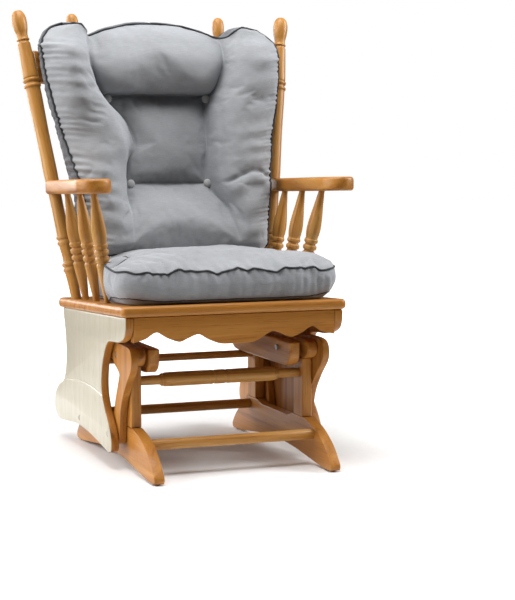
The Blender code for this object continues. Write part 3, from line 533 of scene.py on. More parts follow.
# ---- back: posts, spindles, crest rail ----
POST = [(0.0, 0.012), (0.014, 0.0122), (0.055, 0.013), (0.082, 0.0148), (0.085, 0.0172),
        (0.09, 0.0172), (0.093, 0.0146), (0.096, 0.0146), (0.099, 0.0174), (0.104, 0.0174),
        (0.107, 0.014), (0.122, 0.013), (0.142, 0.0146), (0.15, 0.0156), (0.153, 0.0182),
        (0.158, 0.0182), (0.161, 0.0154), (0.164, 0.0154), (0.167, 0.0184), (0.172, 0.0184),
        (0.175, 0.0158), (0.27, 0.0152), (0.33, 0.017), (0.43, 0.0166), (0.52, 0.0182),
        (0.546, 0.0184), (0.549, 0.0208), (0.554, 0.0208), (0.557, 0.0176), (0.561, 0.0176),
        (0.564, 0.0208), (0.569, 0.0208), (0.572, 0.0176), (0.576, 0.0176), (0.579, 0.019),
        (0.65, 0.0162), (0.66, 0.0156), (0.663, 0.0134), (0.666, 0.0134), (0.669, 0.016),
        (0.674, 0.014), (0.684, 0.0142), (0.696, 0.0168), (0.71, 0.0186), (0.724, 0.0182),
        (0.735, 0.0152), (0.742, 0.01), (0.744, 0.004)]
LONG = [(0.0, 0.0075), (0.02, 0.0078), (0.08, 0.0095), (0.16, 0.012), (0.172, 0.0135),
        (0.184, 0.012), (0.26, 0.0105), (0.38, 0.011), (0.5, 0.0085), (0.56, 0.0075),
        (0.652, 0.0075), (0.66, 0.01), (0.668, 0.0086), (0.68, 0.0124), (0.694, 0.015),
        (0.71, 0.0154), (0.722, 0.0136), (0.729, 0.0092), (0.732, 0.004)]
SHORT = LONG[:8] + [(0.48, 0.0085), (0.555, 0.0075)]
ARM_SP = [(0.0, 0.0072), (0.016, 0.0076), (0.05, 0.0108), (0.085, 0.014), (0.102, 0.015),
          (0.106, 0.0122), (0.109, 0.0122), (0.112, 0.016), (0.119, 0.016), (0.122, 0.0128),
          (0.125, 0.0128), (0.128, 0.0164), (0.135, 0.0164), (0.138, 0.013), (0.141, 0.013),
          (0.144, 0.0162), (0.15, 0.0162), (0.153, 0.0146), (0.166, 0.0164), (0.182, 0.0168),
          (0.204, 0.0148), (0.234, 0.0108), (0.252, 0.0086), (0.262, 0.0073), (0.276, 0.0072)]
deck_holes, crest_holes, post_ends = [], [], {}


def foot(x, y):
    return Vector((x, y, deck_top(y)))


def stand(name, profile, base, tip, hole, node, past=0.0):
    """A turned piece that stands in the seat board; its profile is stretched to its length."""
    way = (tip - base).normalized()
    start = base - way * SINK
    tip = tip + way * past
    scale = (tip - start).length / profile[-1][0]
    lathe(name, [(d * scale, r) for d, r in profile], start, tip, "seat", "turned_wood", node)
    deck_holes.append((start - way * 0.0008, base + way * 0.03, hole + 0.0005))
    return start, tip, way, scale


mid_y = CREST_END_Y + CREST_BOW * (1 - (0.062 / 0.312) ** 2)
mid_z = CREST_Z - CREST_H / 2 + 0.01
for side, tag in ((-1, "l"), (1, "r")):
    post_ends[tag] = stand("post_fine_" + tag, POST, foot(side * POST_FOOT[0], POST_FOOT[1]),
                           Vector((side * POST_TOP[0], *POST_TOP[1:])), 0.012, "post_" + tag)[:2]
    start, tip, way, scale = stand(
        "back_spindle_outer_fine_" + tag, LONG, foot(side * SPINDLE_FOOT[0], SPINDLE_FOOT[1]),
        Vector((side * SPINDLE_TOP[0], *SPINDLE_TOP[1:])), 0.0078, "back_spindle_outer_" + tag)
    crest_holes.append((start + way * 0.48, start + way * 0.66 * scale, 0.0081))
    start, tip, way, scale = stand(
        "back_spindle_inner_fine_" + tag, SHORT, foot(side * MID_FOOT[0], MID_FOOT[1]),
        Vector((side * 0.062, mid_y + BACK_LEAN * (mid_z - CREST_Z), mid_z)), 0.0078,
        "back_spindle_inner_" + tag)
    crest_holes.append((tip - way * 0.04, tip + way * 0.0008, 0.0081))

plan = []
for i in range(49):
    x = 0.33 * (2 * i / 48 - 1)
    plan.append((x, CREST_BOW * (1 - (x / 0.312) ** 2) - CREST_T / 2))
plan += [(x, y + CREST_T) for x, y in reversed(plan)]
crest_place = (Matrix.Translation((0.0, CREST_END_Y, CREST_Z))
               @ Matrix.Rotation(-math.atan(BACK_LEAN), 4, "X"))
wooden("crest_rail_fine",
       board(plan, -CREST_H / 2, CREST_H / 2, "Z", 0.0034, matrix=crest_place, angle=50,
             cutters=[rods(crest_holes)] + [rods([(*post_ends[t], 0.0214)]) for t in "lr"]),
       OAK["X"], "seat", "board_wood", "crest_rail")


# ---- armrests ----
def arm_under(y):
    return ARM_TOP_Z - (y - ARM_REF_Y) * math.tan(ARM_TILT) - ARM_T / math.cos(ARM_TILT)


for side, tag in ((-1, "l"), (1, "r")):
    inner_edge = [(0.276, 0.262), (0.2735, 0.18), (0.268, 0.08), (0.26, -0.02),
                  (0.2565, -0.1), (0.26, -0.138), (0.276, -0.163)]
    outer_edge = [(0.296, -0.17), (0.318, -0.163), (0.335, -0.138), (0.339, -0.1),
                  (0.335, -0.01), (0.326, 0.1), (0.318, 0.2), (0.313, 0.25)]
    edge = spline(inner_edge + outer_edge, 6) + [(0.302, 0.268), (0.286, 0.27)]
    holes = []
    for n, (fy, hy) in enumerate(zip(ARM_FOOT_Y, ARM_HEAD_Y)):
        head = Vector((side * ARM_HEAD_X, hy, arm_under(hy)))
        name = "arm_spindle_" + "abc"[n]
        start, tip, way, scale = stand(name + "_fine_" + tag, ARM_SP, foot(side * ARM_FOOT_X, fy),
                                       head, 0.0074, name + "_" + tag, past=0.01)
        holes.append((head - way * 0.03, tip + way * 0.0008, 0.0081))
    start, tip = post_ends[tag]
    s0, s1 = ((z - start.z) / (tip.z - start.z) for z in (0.55, 0.75))
    holes.append((start.lerp(tip, s0), start.lerp(tip, s1), 0.0172))
    place = tilted(ARM_TILT, ARM_T, ARM_REF_Y, ARM_TOP_Z)
    shape = [(side * x, y - ARM_REF_Y) for x, y in edge]
    wooden("armrest_fine_" + tag,
           board(shape, -ARM_T / 2, ARM_T / 2, "Z", 0.0075, 4, matrix=place,
                 cutters=[rods(holes)], angle=50),
           OAK["Y"], "seat", "board_wood", "armrest_" + tag)

wooden("deck_fine", board(deck_shape, -DECK_T / 2, DECK_T / 2, "Z", 0.0088, 5, matrix=deck_place,
                          cutters=[rods(deck_holes)]),
       OAK["X"], "seat", "board_wood", "deck")

# ---- CAD nodes that are shown as they are ----
AS_BUILT = (("bolt", STEEL), ("glide", RUBBER), ("upright", OAK["Z"]), ("apron", OAK["X"]))
for name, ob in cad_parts.items():
    if not ob.hide_render:
        for spot in ob.material_slots:
            spot.material = next((m for start, m in AS_BUILT if name.startswith(start)), OAK["Y"])


# ---- soft pieces ----
CLOTH_FRAMES = 18


def simulate(ob, pins, pressure, cap, shrink, bending):
    """Inflate the mesh between its pinned vertices, and keep no point further than cap away."""
    group = ob.vertex_groups.new(name="pins")
    for index, weight in enumerate(pins):
        if weight > 0.01:
            group.add([index], float(weight), "REPLACE")
    cloth = ob.modifiers.new("cloth", "CLOTH")
    s = cloth.settings
    s.quality = 5
    s.mass = 0.3
    s.tension_stiffness = s.compression_stiffness = 15.0
    s.shear_stiffness = 5.0
    s.bending_stiffness = bending
    s.use_pressure = True
    s.uniform_pressure_force = pressure
    s.vertex_group_mass = "pins"
    s.pin_stiffness = 4.0
    s.shrink_min = -shrink
    s.effector_weights.gravity = 0.0
    cloth.collision_settings.use_collision = False
    cloth.collision_settings.use_self_collision = False
    scene = bpy.context.scene
    scene.frame_start = cloth.point_cache.frame_start = 1
    scene.frame_end = cloth.point_cache.frame_end = CLOTH_FRAMES
    start = coordinates(ob.data)
    for step in range(1, CLOTH_FRAMES + 1):
        scene.frame_set(step)
    seen = ob.evaluated_get(bpy.context.evaluated_depsgraph_get())
    move = coordinates(seen.data) - start
    ob.modifiers.remove(cloth)
    scene.frame_set(1)
    far = np.linalg.norm(move, axis=1)
    move *= np.minimum(1.0, cap / np.maximum(far, 1e-9))[:, None]
    reshape(ob.data, start + move)


def rows_of_three(items, name):
    out = np.empty(len(items) * 3, np.float32)
    items.foreach_get(name, out)
    return out.reshape(-1, 3).astype(float)


def coordinates(mesh):
    return rows_of_three(mesh.vertices, "co")


def reshape(mesh, co):
    mesh.vertices.foreach_set("co", co.astype(np.float32).ravel())
    mesh.update()


def subdivided(ob):
    """One subdivision, applied; gives the finer mesh's points and normals."""
    more = ob.modifiers.new("finer", "SUBSURF")
    more.levels = more.render_levels = 1
    more.boundary_smooth = "ALL"
    mesh = applied(ob)
    ob.modifiers.clear()
    ob.data = smoothed(mesh)
    return coordinates(mesh), rows_of_three(mesh.vertex_normals, "vector")


def surface(mesh):
    """Search tree of a mesh's faces."""
    return BVHTree.FromPolygons([tuple(v.co) for v in mesh.vertices],
                                [tuple(f.vertices) for f in mesh.polygons])


def sewn(name, path, radius, place=SHIFT, cyclic=True):
    """Dark covered cord that is sewn to the cloth along the path."""
    mesh = wire(path, radius, cyclic)
    mesh.materials.append(CORD)
    mesh.transform(place)
    ob = link(name, mesh)
    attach(ob, "seat")


def smooth(t):
    """ease() for arrays."""
    t = np.clip(t, 0.0, 1.0)
    return t * t * (3 - 2 * t)


def bump(d, width):
    return np.exp(-(d / width) ** 2)


# -- back cushion: front panel, side band and rear panel on one grid --
LOW_Z, HIGH_Z, CORNER, LOW_CORNER, LOW_CORNER_H = 0.477, 1.036, 0.062, 0.018, 0.022
MID_Z = 0.78
MID_COLS, WING_COLS, ROWS, BAND = 48, 32, 116, 9
COLS = 2 * WING_COLS + MID_COLS
# heights of the two cross creases, where the buttons sit
CROSS_LOW, CROSS_HIGH = 0.643, 0.862
# half-width of the middle panels by height, where the side bolsters start
CREASE = {1: ((0.47, 0.15), (0.575, 0.132), (0.643, 0.106), (0.75, 0.111), (0.85, 0.123),
              (0.885, 0.142), (0.95, 0.16), (1.036, 0.17)),
          -1: ((0.47, 0.13), (0.575, 0.121), (0.643, 0.115), (0.7, 0.101), (0.745, 0.078),
               (0.8, 0.1), (0.85, 0.15), (0.885, 0.174), (0.95, 0.192), (1.036, 0.184))}
WIDTH = ((0.47, 0.222), (0.56, 0.233), (0.65, 0.246), (0.75, 0.265), (0.85, 0.288),
         (0.95, 0.304), (1.04, 0.305))
# thickness of the outer edge, between the two sewn seams
EDGE = ((0.47, 0.098), (0.6, 0.104), (0.655, 0.098), (0.705, 0.074), (0.75, 0.054),
        (0.8, 0.05), (0.88, 0.046), (0.96, 0.041), (1.04, 0.034))


def through(points, at):
    """Smooth curve through (place, value) pairs, held just inside its ends."""
    at = min(max(at, points[0][0] + 0.001), points[-1][0] - 0.001)
    k = max(n for n in range(len(points) - 1) if points[n][0] <= at or n == 0)
    (x0, y0), (x1, y1) = points[k], points[k + 1]
    before, after = points[max(k - 1, 0)], points[min(k + 2, len(points) - 1)]
    m0 = (y1 - before[1]) / (x1 - before[0])
    m1 = (after[1] - y0) / (after[0] - x0)
    t = (at - x0) / (x1 - x0)
    w = x1 - x0
    return ((2 * t ** 3 - 3 * t * t + 1) * y0 + (t ** 3 - 2 * t * t + t) * w * m0
            + (3 * t * t - 2 * t ** 3) * y1 + (t ** 3 - t * t) * w * m1)


def back_half(z):
    """Half-width of the cushion at a height, with its rounded corners."""
    w = through(WIDTH, z)
    up = z - (HIGH_Z - CORNER)
    if up > 0:
        w -= CORNER - math.sqrt(max(0.0, CORNER ** 2 - up ** 2))
    down = LOW_Z + LOW_CORNER_H - z
    if down > 0:
        w -= LOW_CORNER - math.sqrt(max(0.0, LOW_CORNER ** 2
                                        - (LOW_CORNER * down / LOW_CORNER_H) ** 2))
    return w


def back_rear(x, z):
    """Rear face: it leans on the spindles and the bowed crest rail."""
    hollow = max(0.0, 1 - (x / 0.25) ** 2) * ease((z - 0.5) / 0.12)
    high = max(0.0, 1 - (x / 0.2) ** 2) * ease((z - 0.75) / 0.16)
    return 0.25 + 0.245 * (z - 0.45) - 0.47 * x * x + 0.014 * hollow + 0.01 * high


def crease_x(z, side):
    return through(CREASE[side], z)


def band_depth(z, side):
    """Depth of the side band; on the right it is wider, and its seam shows past the bolster."""
    wider = 0.024 * ease((z - 0.66) / 0.08) * (1 - ease((z - 0.96) / 0.07))
    return through(EDGE, z) + (wider if side > 0 else 0.0)


def arc(t, power=0.5):
    return max(0.0, 4 * t * (1 - t)) ** power


# depth of the creases between the panels
FLOOR = ((0.47, 0.138), (0.52, 0.137), (0.575, 0.119), (0.643, 0.054), (0.74, 0.06),
         (0.85, 0.04), (0.9, 0.07), (0.96, 0.086), (1.036, 0.06))


def bolster(t, peak, soft, fall):
    """Cross-section of a side bolster: 0 at the crease, 1 on its crest, 0 at the outer edge."""
    if t < peak:
        s = t / peak
        return (1 - soft) * (1 - (1 - s) ** 2) ** 0.52 + soft * ease(s)
    return (1 - ((t - peak) / (1 - peak)) ** 2) ** fall if t < 1 else 0.0


def back_depth(x, z, w):
    """Thickness of the cushion at a point of its front view."""
    side = 1 if x > 0 else -1
    c = crease_x(z, side)
    a = abs(x)
    floor = through(FLOOR, z)
    top = 0.152 - 0.012 * (1 - ease((z - 0.47) / 0.12)) - 0.062 * ease((z - 0.95) / 0.088) ** 1.3
    if a >= c:
        t = min((a - c) / max(w - c, 1e-6), 1.0)
        bottom = floor + (band_depth(z, side) - floor) * ease(t)
        slack = math.exp(-((z - 0.745) / 0.07) ** 2)
        peak = 0.4 + 0.04 * ease((z - 0.8) / 0.1) - (0.04 if side < 0 else 0.0) * slack
        soft = (0.85 if side < 0 else 0.25) * slack
        return bottom + max(top - bottom, 0.0) * bolster(t, peak, soft, 0.58 if side < 0 else 0.74)
    u = a / c
    cross = (1 - u ** 2.4) ** 0.45 if u < 1 else 0.0
    if z >= CROSS_HIGH:
        v = min((z - CROSS_HIGH) / (HIGH_Z - CROSS_HIGH), 1.0)
        swell = 0.04 + (0.148 - 0.04) * arc(v ** 0.8) * (1 - 0.25 * v)
        side_floor = floor * min(1.0, 0.4 + arc(v, 0.4))
        return side_floor + (max(swell, side_floor) - side_floor) * (1 - u ** 5) ** 0.6
    if z >= CROSS_LOW:
        v = (z - CROSS_LOW) / (CROSS_HIGH - CROSS_LOW)
        edge = 0.05 - 0.014 * v
        pad = edge + 0.034 * arc(v, 0.45)
        return min(floor, pad) + max(pad - floor, 0.0) * cross if pad > floor else pad
    v = (CROSS_LOW - z) / (CROSS_LOW - LOW_Z)
    pad = 0.05 + 0.088 * arc(min(v * 0.6, 1.0), 0.55)
    return floor + (pad - floor) * cross


def column_x(i, z, w):
    """Grid columns keep the two long creases on fixed columns."""
    left, right = crease_x(z, -1), crease_x(z, 1)
    if i < WING_COLS:
        return -w + (w - left) * i / WING_COLS
    if i <= WING_COLS + MID_COLS:
        return -left + (left + right) * (i - WING_COLS) / MID_COLS
    return w - (w - right) * (COLS - i) / WING_COLS


ROW_Z = [LOW_Z + (HIGH_Z - LOW_Z) * j / ROWS for j in range(ROWS + 1)]


def nearest_row(z):
    return min(range(ROWS + 1), key=lambda j: abs(ROW_Z[j] - z))


for target in (CROSS_LOW, CROSS_HIGH):
    ROW_Z[nearest_row(target)] = target


def top_drop(x):
    """How far the top edge lies under its highest point: an arched roll between two bolsters."""
    a = abs(x)
    if a < 0.168:
        return 0.036 * (a / 0.168) ** 2.2 - 0.01
    return 0.026 - 0.026 * ease((a - 0.168) / 0.045)


def settled(x, z):
    """Move a grid point's height for the arched top and the arched lower edge of the head roll."""
    z -= top_drop(x) * ease((z - 0.9) / 0.136)
    if abs(x) < 0.14:
        z += 0.008 * (1 - (x / 0.14) ** 2) * math.exp(-((z - CROSS_HIGH) / 0.04) ** 2)
    return z


def front_point(i, j):
    z = ROW_Z[j]
    w = back_half(z)
    x = column_x(i, z, w)
    y = back_rear(x, z) - back_depth(x, z, w)
    if z < LOW_Z + 0.03:
        y += 0.016 * (1 - ease((z - LOW_Z) / 0.03))
    return Vector((x, y, settled(x, z)))


def rear_point(i, j):
    z = ROW_Z[j]
    x = column_x(i, z, back_half(z))
    u = abs(x) / back_half(z)
    v = (z - LOW_Z) / (HIGH_Z - LOW_Z)
    puff = 0.006 * (1 - u ** 4) * arc(v, 0.4)
    return Vector((x, back_rear(x, z) + puff - 0.006, settled(x, z)))


bm = bmesh.new()
front = [[bm.verts.new(front_point(i, j)) for i in range(COLS + 1)] for j in range(ROWS + 1)]
rear = [[bm.verts.new(rear_point(i, j)) for i in range(COLS + 1)] for j in range(ROWS + 1)]
for j in range(ROWS):
    for i in range(COLS):
        bm.faces.new([front[j][i], front[j][i + 1], front[j + 1][i + 1], front[j + 1][i]])
        bm.faces.new([rear[j][i], rear[j + 1][i], rear[j + 1][i + 1], rear[j][i + 1]])
rim = [(0, i) for i in range(COLS)] + [(j, COLS) for j in range(ROWS)]
rim += [(ROWS, i) for i in range(COLS, 0, -1)] + [(j, 0) for j in range(ROWS, 0, -1)]
band = []
for j, i in rim:
    a, b = front[j][i].co, rear[j][i].co
    outward = Vector((a.x, 0.0, a.z - MID_Z)).normalized()
    strip = [front[j][i]]
    for k in range(1, BAND):
        t = k / BAND
        puff = 0.007 * arc(t) * (0.3 if j == 0 else 1.0)
        strip.append(bm.verts.new(a.lerp(b, t) + outward * puff))
    strip.append(rear[j][i])
    band.append(strip)
for n in range(len(rim)):
    p, q = band[n], band[(n + 1) % len(rim)]
    for k in range(BAND):
        bm.faces.new([p[k], p[k + 1], q[k + 1], q[k]]).material_index = 1
bmesh.ops.recalc_face_normals(bm, faces=bm.faces)
bm.verts.index_update()
FRONT_INDEX = np.array([[v.index for v in row] for row in front])
REAR_INDEX = np.array([[v.index for v in row] for row in rear])
SEAM = [front[j][i].index for j, i in rim]
REAR_SEAM = [rear[j][i].index for j, i in rim]
mesh = smoothed(meshed(bm, "back_cushion_soft"))
mesh.materials.append(TWILL)
mesh.materials.append(TWILL_DARK)
back = link("back_cushion_soft", mesh)

pins = np.zeros(len(mesh.vertices))
pins[REAR_INDEX.ravel()] = 1.0
pins[SEAM] = 1.0
for j, z in enumerate(ROW_Z):
    hold = 0.9 * (1 - 0.9 * (1 - ease((z - 0.53) / 0.1)))
    pins[FRONT_INDEX[j, [WING_COLS, WING_COLS + MID_COLS]]] = hold
for target in (CROSS_LOW, CROSS_HIGH):
    pins[FRONT_INDEX[nearest_row(target), WING_COLS:WING_COLS + MID_COLS + 1]] = 0.85
grid = coordinates(mesh)
for bx, bz in BUTTONS:
    for side in (-1, 1):
        near = (np.hypot(grid[:, 0] - side * bx, grid[:, 2] - bz) < 0.01)
        near[REAR_INDEX.ravel()] = False
        pins[near] = 1.0
simulate(back, pins, pressure=3.0, cap=0.011, shrink=0.012, bending=0.6)

# short gathers along the outer seam and soft folds on the bolsters, on the finer mesh
rough_back = coordinates(back.data)
co, nor = subdivided(back)
x, y, z = co.T
side = np.where(x < 0, -1.0, 1.0)
heights = np.linspace(LOW_Z, HIGH_Z, 160)


def by_side(measure):
    """A measure of height and side, at every vertex."""
    left, right = (np.interp(z, heights, [measure(h, s) for h in heights]) for s in (-1, 1))
    return np.where(x < 0, left, right)


half = np.interp(z, heights, [back_half(h) for h in heights])
edge_t, crease_at = by_side(band_depth), by_side(crease_x)
rear_y = np.array([back_rear(a, h) for a, h in zip(x, z)])
reach = np.maximum(half - np.abs(x), 0.0)
front_share = np.clip((rear_y - y) / (0.85 * edge_t), 0.0, 1.0) ** 2
wing = np.clip((np.abs(x) - crease_at) / 0.03, 0.0, 1.0)
pitch = np.where(x < 0, 395.0, 545.0)
slant = z + 0.14 * reach
ripple = (0.7 * np.sin(slant * pitch + 2.2 * np.sin(z * 41.0 + side))
          + 0.5 * np.sin(slant * pitch * 0.63 + 3.0 * np.sin(z * 29.0 + side)))
tuck = (0.62 + 0.38 * np.sin(z * 67.0 + side)) * ripple
near = (np.exp(-(reach / 0.026) ** 1.5) * smooth((z - 0.485) / 0.03)
        * (1 - 0.6 * smooth((z - 0.985) / 0.03)))
lift = np.where(x < 0, 0.0038, 0.0026) * near * tuck * front_share
long_fold = np.sin(slant * 128.0 + 2.0 * np.sin(z * 23.0 + 2 * side))
lift += 0.0019 * bump(reach - 0.045, 0.04) * wing * long_fold * front_share * (z > 0.5)
# the fold that runs over the right bolster at armrest height, with a soft lobe under it
fold_z = np.interp(x, (0.1, 0.13, 0.16, 0.19, 0.215, 0.245),
                   (0.645, 0.65, 0.666, 0.678, 0.676, 0.66))
over = smooth((x - 0.112) / 0.03) * (1 - smooth((x - 0.225) / 0.03)) * front_share
lift += over * (-0.0075 * bump(z - fold_z, 0.0065) + 0.004 * bump(z - fold_z + 0.024, 0.016))
# a second, fainter crease beside the right one
beside = x - crease_at - 0.017
along_it = smooth((z - 0.66) / 0.03) * (1 - smooth((z - 0.82) / 0.03))
lift -= 0.0026 * bump(beside, 0.0045) * along_it * front_share
# the curved fold at the inner side of the left bolster
inner = -x - crease_at - 0.002
along_it = smooth((z - 0.725) / 0.03) * (1 - smooth((z - 0.835) / 0.02))
lift -= 0.0055 * bump(inner, 0.004) * along_it * front_share * (x < 0)
# wrinkles of the side band
band_share = np.exp(-(reach / 0.006) ** 2) * (1 - front_share)
for n in range(len(co)):
    p = Vector(co[n])
    lift[n] += noise.noise(p * 21.0) * 0.0017 + noise.noise(p * 52.0) * 0.0007
    if band_share[n] > 0.05:
        wrinkle = noise.noise(Vector((p.x * 30.0, p.y * 55.0 + p.z * 30.0, p.z * 85.0)))
        lift[n] += band_share[n] * (0.0042 * wrinkle - 0.001)
reshape(back.data, co + nor * lift[:, None])
tree = surface(back.data)
back.data.transform(SHIFT)
hand_over(back, "seat", "back_fabric", "back_cushion")

# the piping lies a little outside its seam and wavers
for name, seam, radius in (("back_piping_front", SEAM, 0.0026),
                           ("back_piping_rear", REAR_SEAM, 0.0022)):
    path = []
    for n, index in enumerate(seam):
        p = tree.find_nearest(Vector(rough_back[index]))[0]
        out = Vector((p.x, 0.0, (p.z - MID_Z) * 0.8)).normalized() * 0.0016
        waver = Vector((0.0, math.sin(n * 0.37), math.sin(n * 0.37 * 1.7 + 1.0))) * 0.0008
        path.append(p + out + waver)
    sewn(name, path, radius)

# -- buttons, seated in their tufts --
for tag, column, side, more in (("l", WING_COLS, -1, 0.01), ("r", WING_COLS + MID_COLS, 1, 0.0)):
    for where, height, inward, up in (("low", CROSS_LOW, 0.004, 0.001),
                                      ("high", CROSS_HIGH, 0.008, -0.007)):
        base = Vector(rough_back[FRONT_INDEX[nearest_row(height), column]])
        base += Vector((-side * (inward + more), -0.012, up))
        lathe("button_%s_fine_%s" % (where, tag),
              [(0.0, 0.0086), (0.0022, 0.0104), (0.0048, 0.0102), (0.007, 0.008),
               (0.0082, 0.0046), (0.0086, 0.0008)],
              base, base + Vector((-side * 0.0005, -0.01, 0.0012)), "seat", "button_fabric",
              "button_%s_%s" % (where, tag), BUTTON, sides=28, per=4)

# -- seat cushion: T-shaped boxed cushion, its seams held while it is inflated --
# in the seat board's own frame, with y from its front edge and z from its top
SEAT_FRONT, SEAT_REAR, SEAM_H, SEAM_RISE, SEAT_Z0 = 0.012, 0.47, 0.072, 0.019, 0.0012
VOXEL = 0.0062
SEAT_PLACE = (SHIFT @ Matrix.Translation((0.0, DECK_FRONT_Y, DECK_FRONT_Z))
              @ Matrix.Rotation(-DECK_TILT, 4, "X"))


def seat_outline():
    edge = [(0.0, SEAT_FRONT), (0.14, SEAT_FRONT), (0.216, SEAT_FRONT + 0.003),
            (0.246, SEAT_FRONT + 0.017), (0.262, SEAT_FRONT + 0.048), (0.264, 0.105),
            (0.263, 0.156), (0.252, 0.178), (0.222, 0.19), (0.213, 0.206), (0.212, 0.3),
            (0.21, SEAT_REAR - 0.034), (0.196, SEAT_REAR - 0.006), (0.16, SEAT_REAR),
            (0.0, SEAT_REAR)]
    half = spline(edge, 6)
    return half + [(-x, y) for x, y in reversed(half)][1:-1]


def seam_height(y, soft_step=ease):
    """Height of the upper seam; soft_step is smooth for arrays."""
    return SEAM_H + SEAM_RISE * soft_step((y - 0.04) / 0.16)


outline = seat_outline()
outward = []
for k in range(len(outline)):
    (ax, ay), (bx, by) = outline[k - 1], outline[(k + 1) % len(outline)]
    outward.append(Vector((by - ay, ax - bx)).normalized())
bm = bmesh.new()
loops = []
for r in (0.0, 0.05, 0.12, 0.22, 0.34, 0.48, 0.62, 0.76, 0.88, 1.0):
    ring = []
    for (x, y), out in zip(outline, outward):
        under = 0.011 + 0.017 * ease((abs(x) - 0.17) / 0.085) if y < 0.17 else 0.008
        move = 0.007 * 4 * r * (1 - r) - under * (1 - r) ** 2.3
        ring.append(bm.verts.new((x + out[0] * move, y + out[1] * move,
                                  SEAT_Z0 + r * (seam_height(y) - SEAT_Z0))))
    loops.append(ring)
bm.faces.new(list(reversed(loops[0])))
bm.faces.new(loops[-1])
for low_ring, high_ring in zip(loops, loops[1:]):
    bridge(bm, low_ring, high_ring)
bmesh.ops.recalc_face_normals(bm, faces=bm.faces)
seat_ob = link("seat_cushion_soft", meshed(bm, "seat_cushion_soft"))
voxel = seat_ob.modifiers.new("remesh", "REMESH")
voxel.mode = "VOXEL"
voxel.voxel_size = VOXEL
mesh = applied(seat_ob)
seat_ob.modifiers.clear()
seat_ob.data = mesh

co = coordinates(mesh)
flat = np.array(outline)
inside = np.empty(len(co))
for first in range(0, len(co), 4000):
    part = co[first:first + 4000, None, :2] - flat[None]
    inside[first:first + 4000] = np.sqrt((part ** 2).sum(-1).min(1))
x, y, z = co.T
seam_at = seam_height(y, smooth)
on_top = z > seam_at - 0.003
on_base = z < SEAT_Z0 + 0.003
crown = 0.019 * (1 - np.exp(-inside / 0.03)) + 0.006 * bump(y - 0.075, 0.045)
crown -= 0.016 * smooth((y - 0.365) / 0.04)
crown -= 0.003 * smooth((0.1 - x) / 0.25) * smooth((y - 0.12) / 0.14)
z[on_top] += crown[on_top]
reshape(mesh, co)
rise = (z - SEAT_Z0) / (seam_at - SEAT_Z0)
pins = np.zeros(len(co))
pins[on_base] = 1.0
pins[(inside < 0.0055) & (np.abs(rise - 1) < 0.09)] = 1.0
pins[rise < 0.14] = 1.0
simulate(seat_ob, pins, pressure=2.0, cap=0.014, shrink=0.02, bending=0.2)

# ear seams, wavy front seam and soft irregular surface, on the finer mesh
EAR = ((-0.256, 0.112), (-0.232, 0.118), (-0.206, 0.142), (-0.184, 0.188), (-0.17, 0.25),
       (-0.168, 0.33))


def front_wave(x):
    return (0.0034 * np.sin(x * 46.0 + 0.6) + 0.0024 * np.sin(x * 97.0 + 2.0)
            + 0.0015 * np.sin(x * 171.0))


def ear_line(mirror, per):
    return spline([(mirror * a, b, 0.0) for a, b in EAR], per)


co, nor = subdivided(seat_ob)
x, y, z = co.T
seam_at = seam_height(y, smooth)
height = np.clip(z / seam_at, 0.0, 1.0)
lift = np.array([noise.noise(Vector(p) * 14.0) * 0.003 + noise.noise(Vector(p) * 38.0) * 0.0013
                 for p in co])
face_share = bump(y - SEAT_FRONT, 0.035)
lift += face_share * np.sin(np.pi * height) * (
    0.0016 * np.sin(x * 92.0 + 1.3 * np.sin(x * 23.0))
    + 0.0014 * smooth((x - 0.06) / 0.1) * np.sin(x * 330.0 + height * 1.5))
lift += (0.0016 * face_share * bump(height - 0.93, 0.12)
         * np.sin(x * 290.0 + 2.0 * np.sin(x * 37.0)))
for mirror in (-1, 1):
    line = np.array(ear_line(mirror, 10))[:, :2]
    away = np.sqrt(((co[:, None, :2] - line[None]) ** 2).sum(-1).min(1))
    lift -= 0.0035 * bump(away, 0.007) * (z > seam_at)
co += nor * (lift * smooth(height / 0.35))[:, None]
z += front_wave(x) * bump(y - SEAT_FRONT, 0.035) * bump(z - seam_at, 0.02)
reshape(seat_ob.data, co)
seat_ob.data.materials.clear()
seat_ob.data.materials.append(TWILL)
tree = surface(seat_ob.data)


def seam_path(share, wave):
    """Line round the cushion at a share of its side's height, on the finished cloth."""
    path = []
    loop = [Vector((x, y, share * seam_height(y))) for x, y in outline]
    for n in range(len(loop)):
        a, b = loop[n], loop[(n + 1) % len(loop)]
        steps = max(1, int((b - a).length / 0.004))
        for k in range(steps):
            p = a.lerp(b, k / steps)
            if wave:
                p.z += front_wave(p.x) * math.exp(-((p.y - SEAT_FRONT) / 0.05) ** 2)
            spot = tree.find_nearest(p)[0]
            out = Vector((p.x, p.y - 0.2, 0.0)).normalized()
            path.append(spot + out * 0.0006 + Vector((0, 0, 0.0006)))
    return path


for name, share, radius, wave in (("seat_piping_top", 1.0, 0.0025, True),
                                  ("seat_piping_low", 0.045, 0.0013, False)):
    sewn(name, seam_path(share, wave), radius, SEAT_PLACE)
for mirror, tag in ((-1, "r"), (1, "l")):
    spots = [tree.ray_cast(Vector((p[0], p[1], 0.3)), Vector((0, 0, -1)))[0]
             for p in ear_line(mirror, 8)]
    sewn("ear_seam_" + tag, [q + Vector((0, 0, 0.0002)) for q in spots if q], 0.0012,
         SEAT_PLACE, cyclic=False)
seat_ob.data.transform(SEAT_PLACE)
hand_over(seat_ob, "seat", "seat_fabric", "seat_cushion")

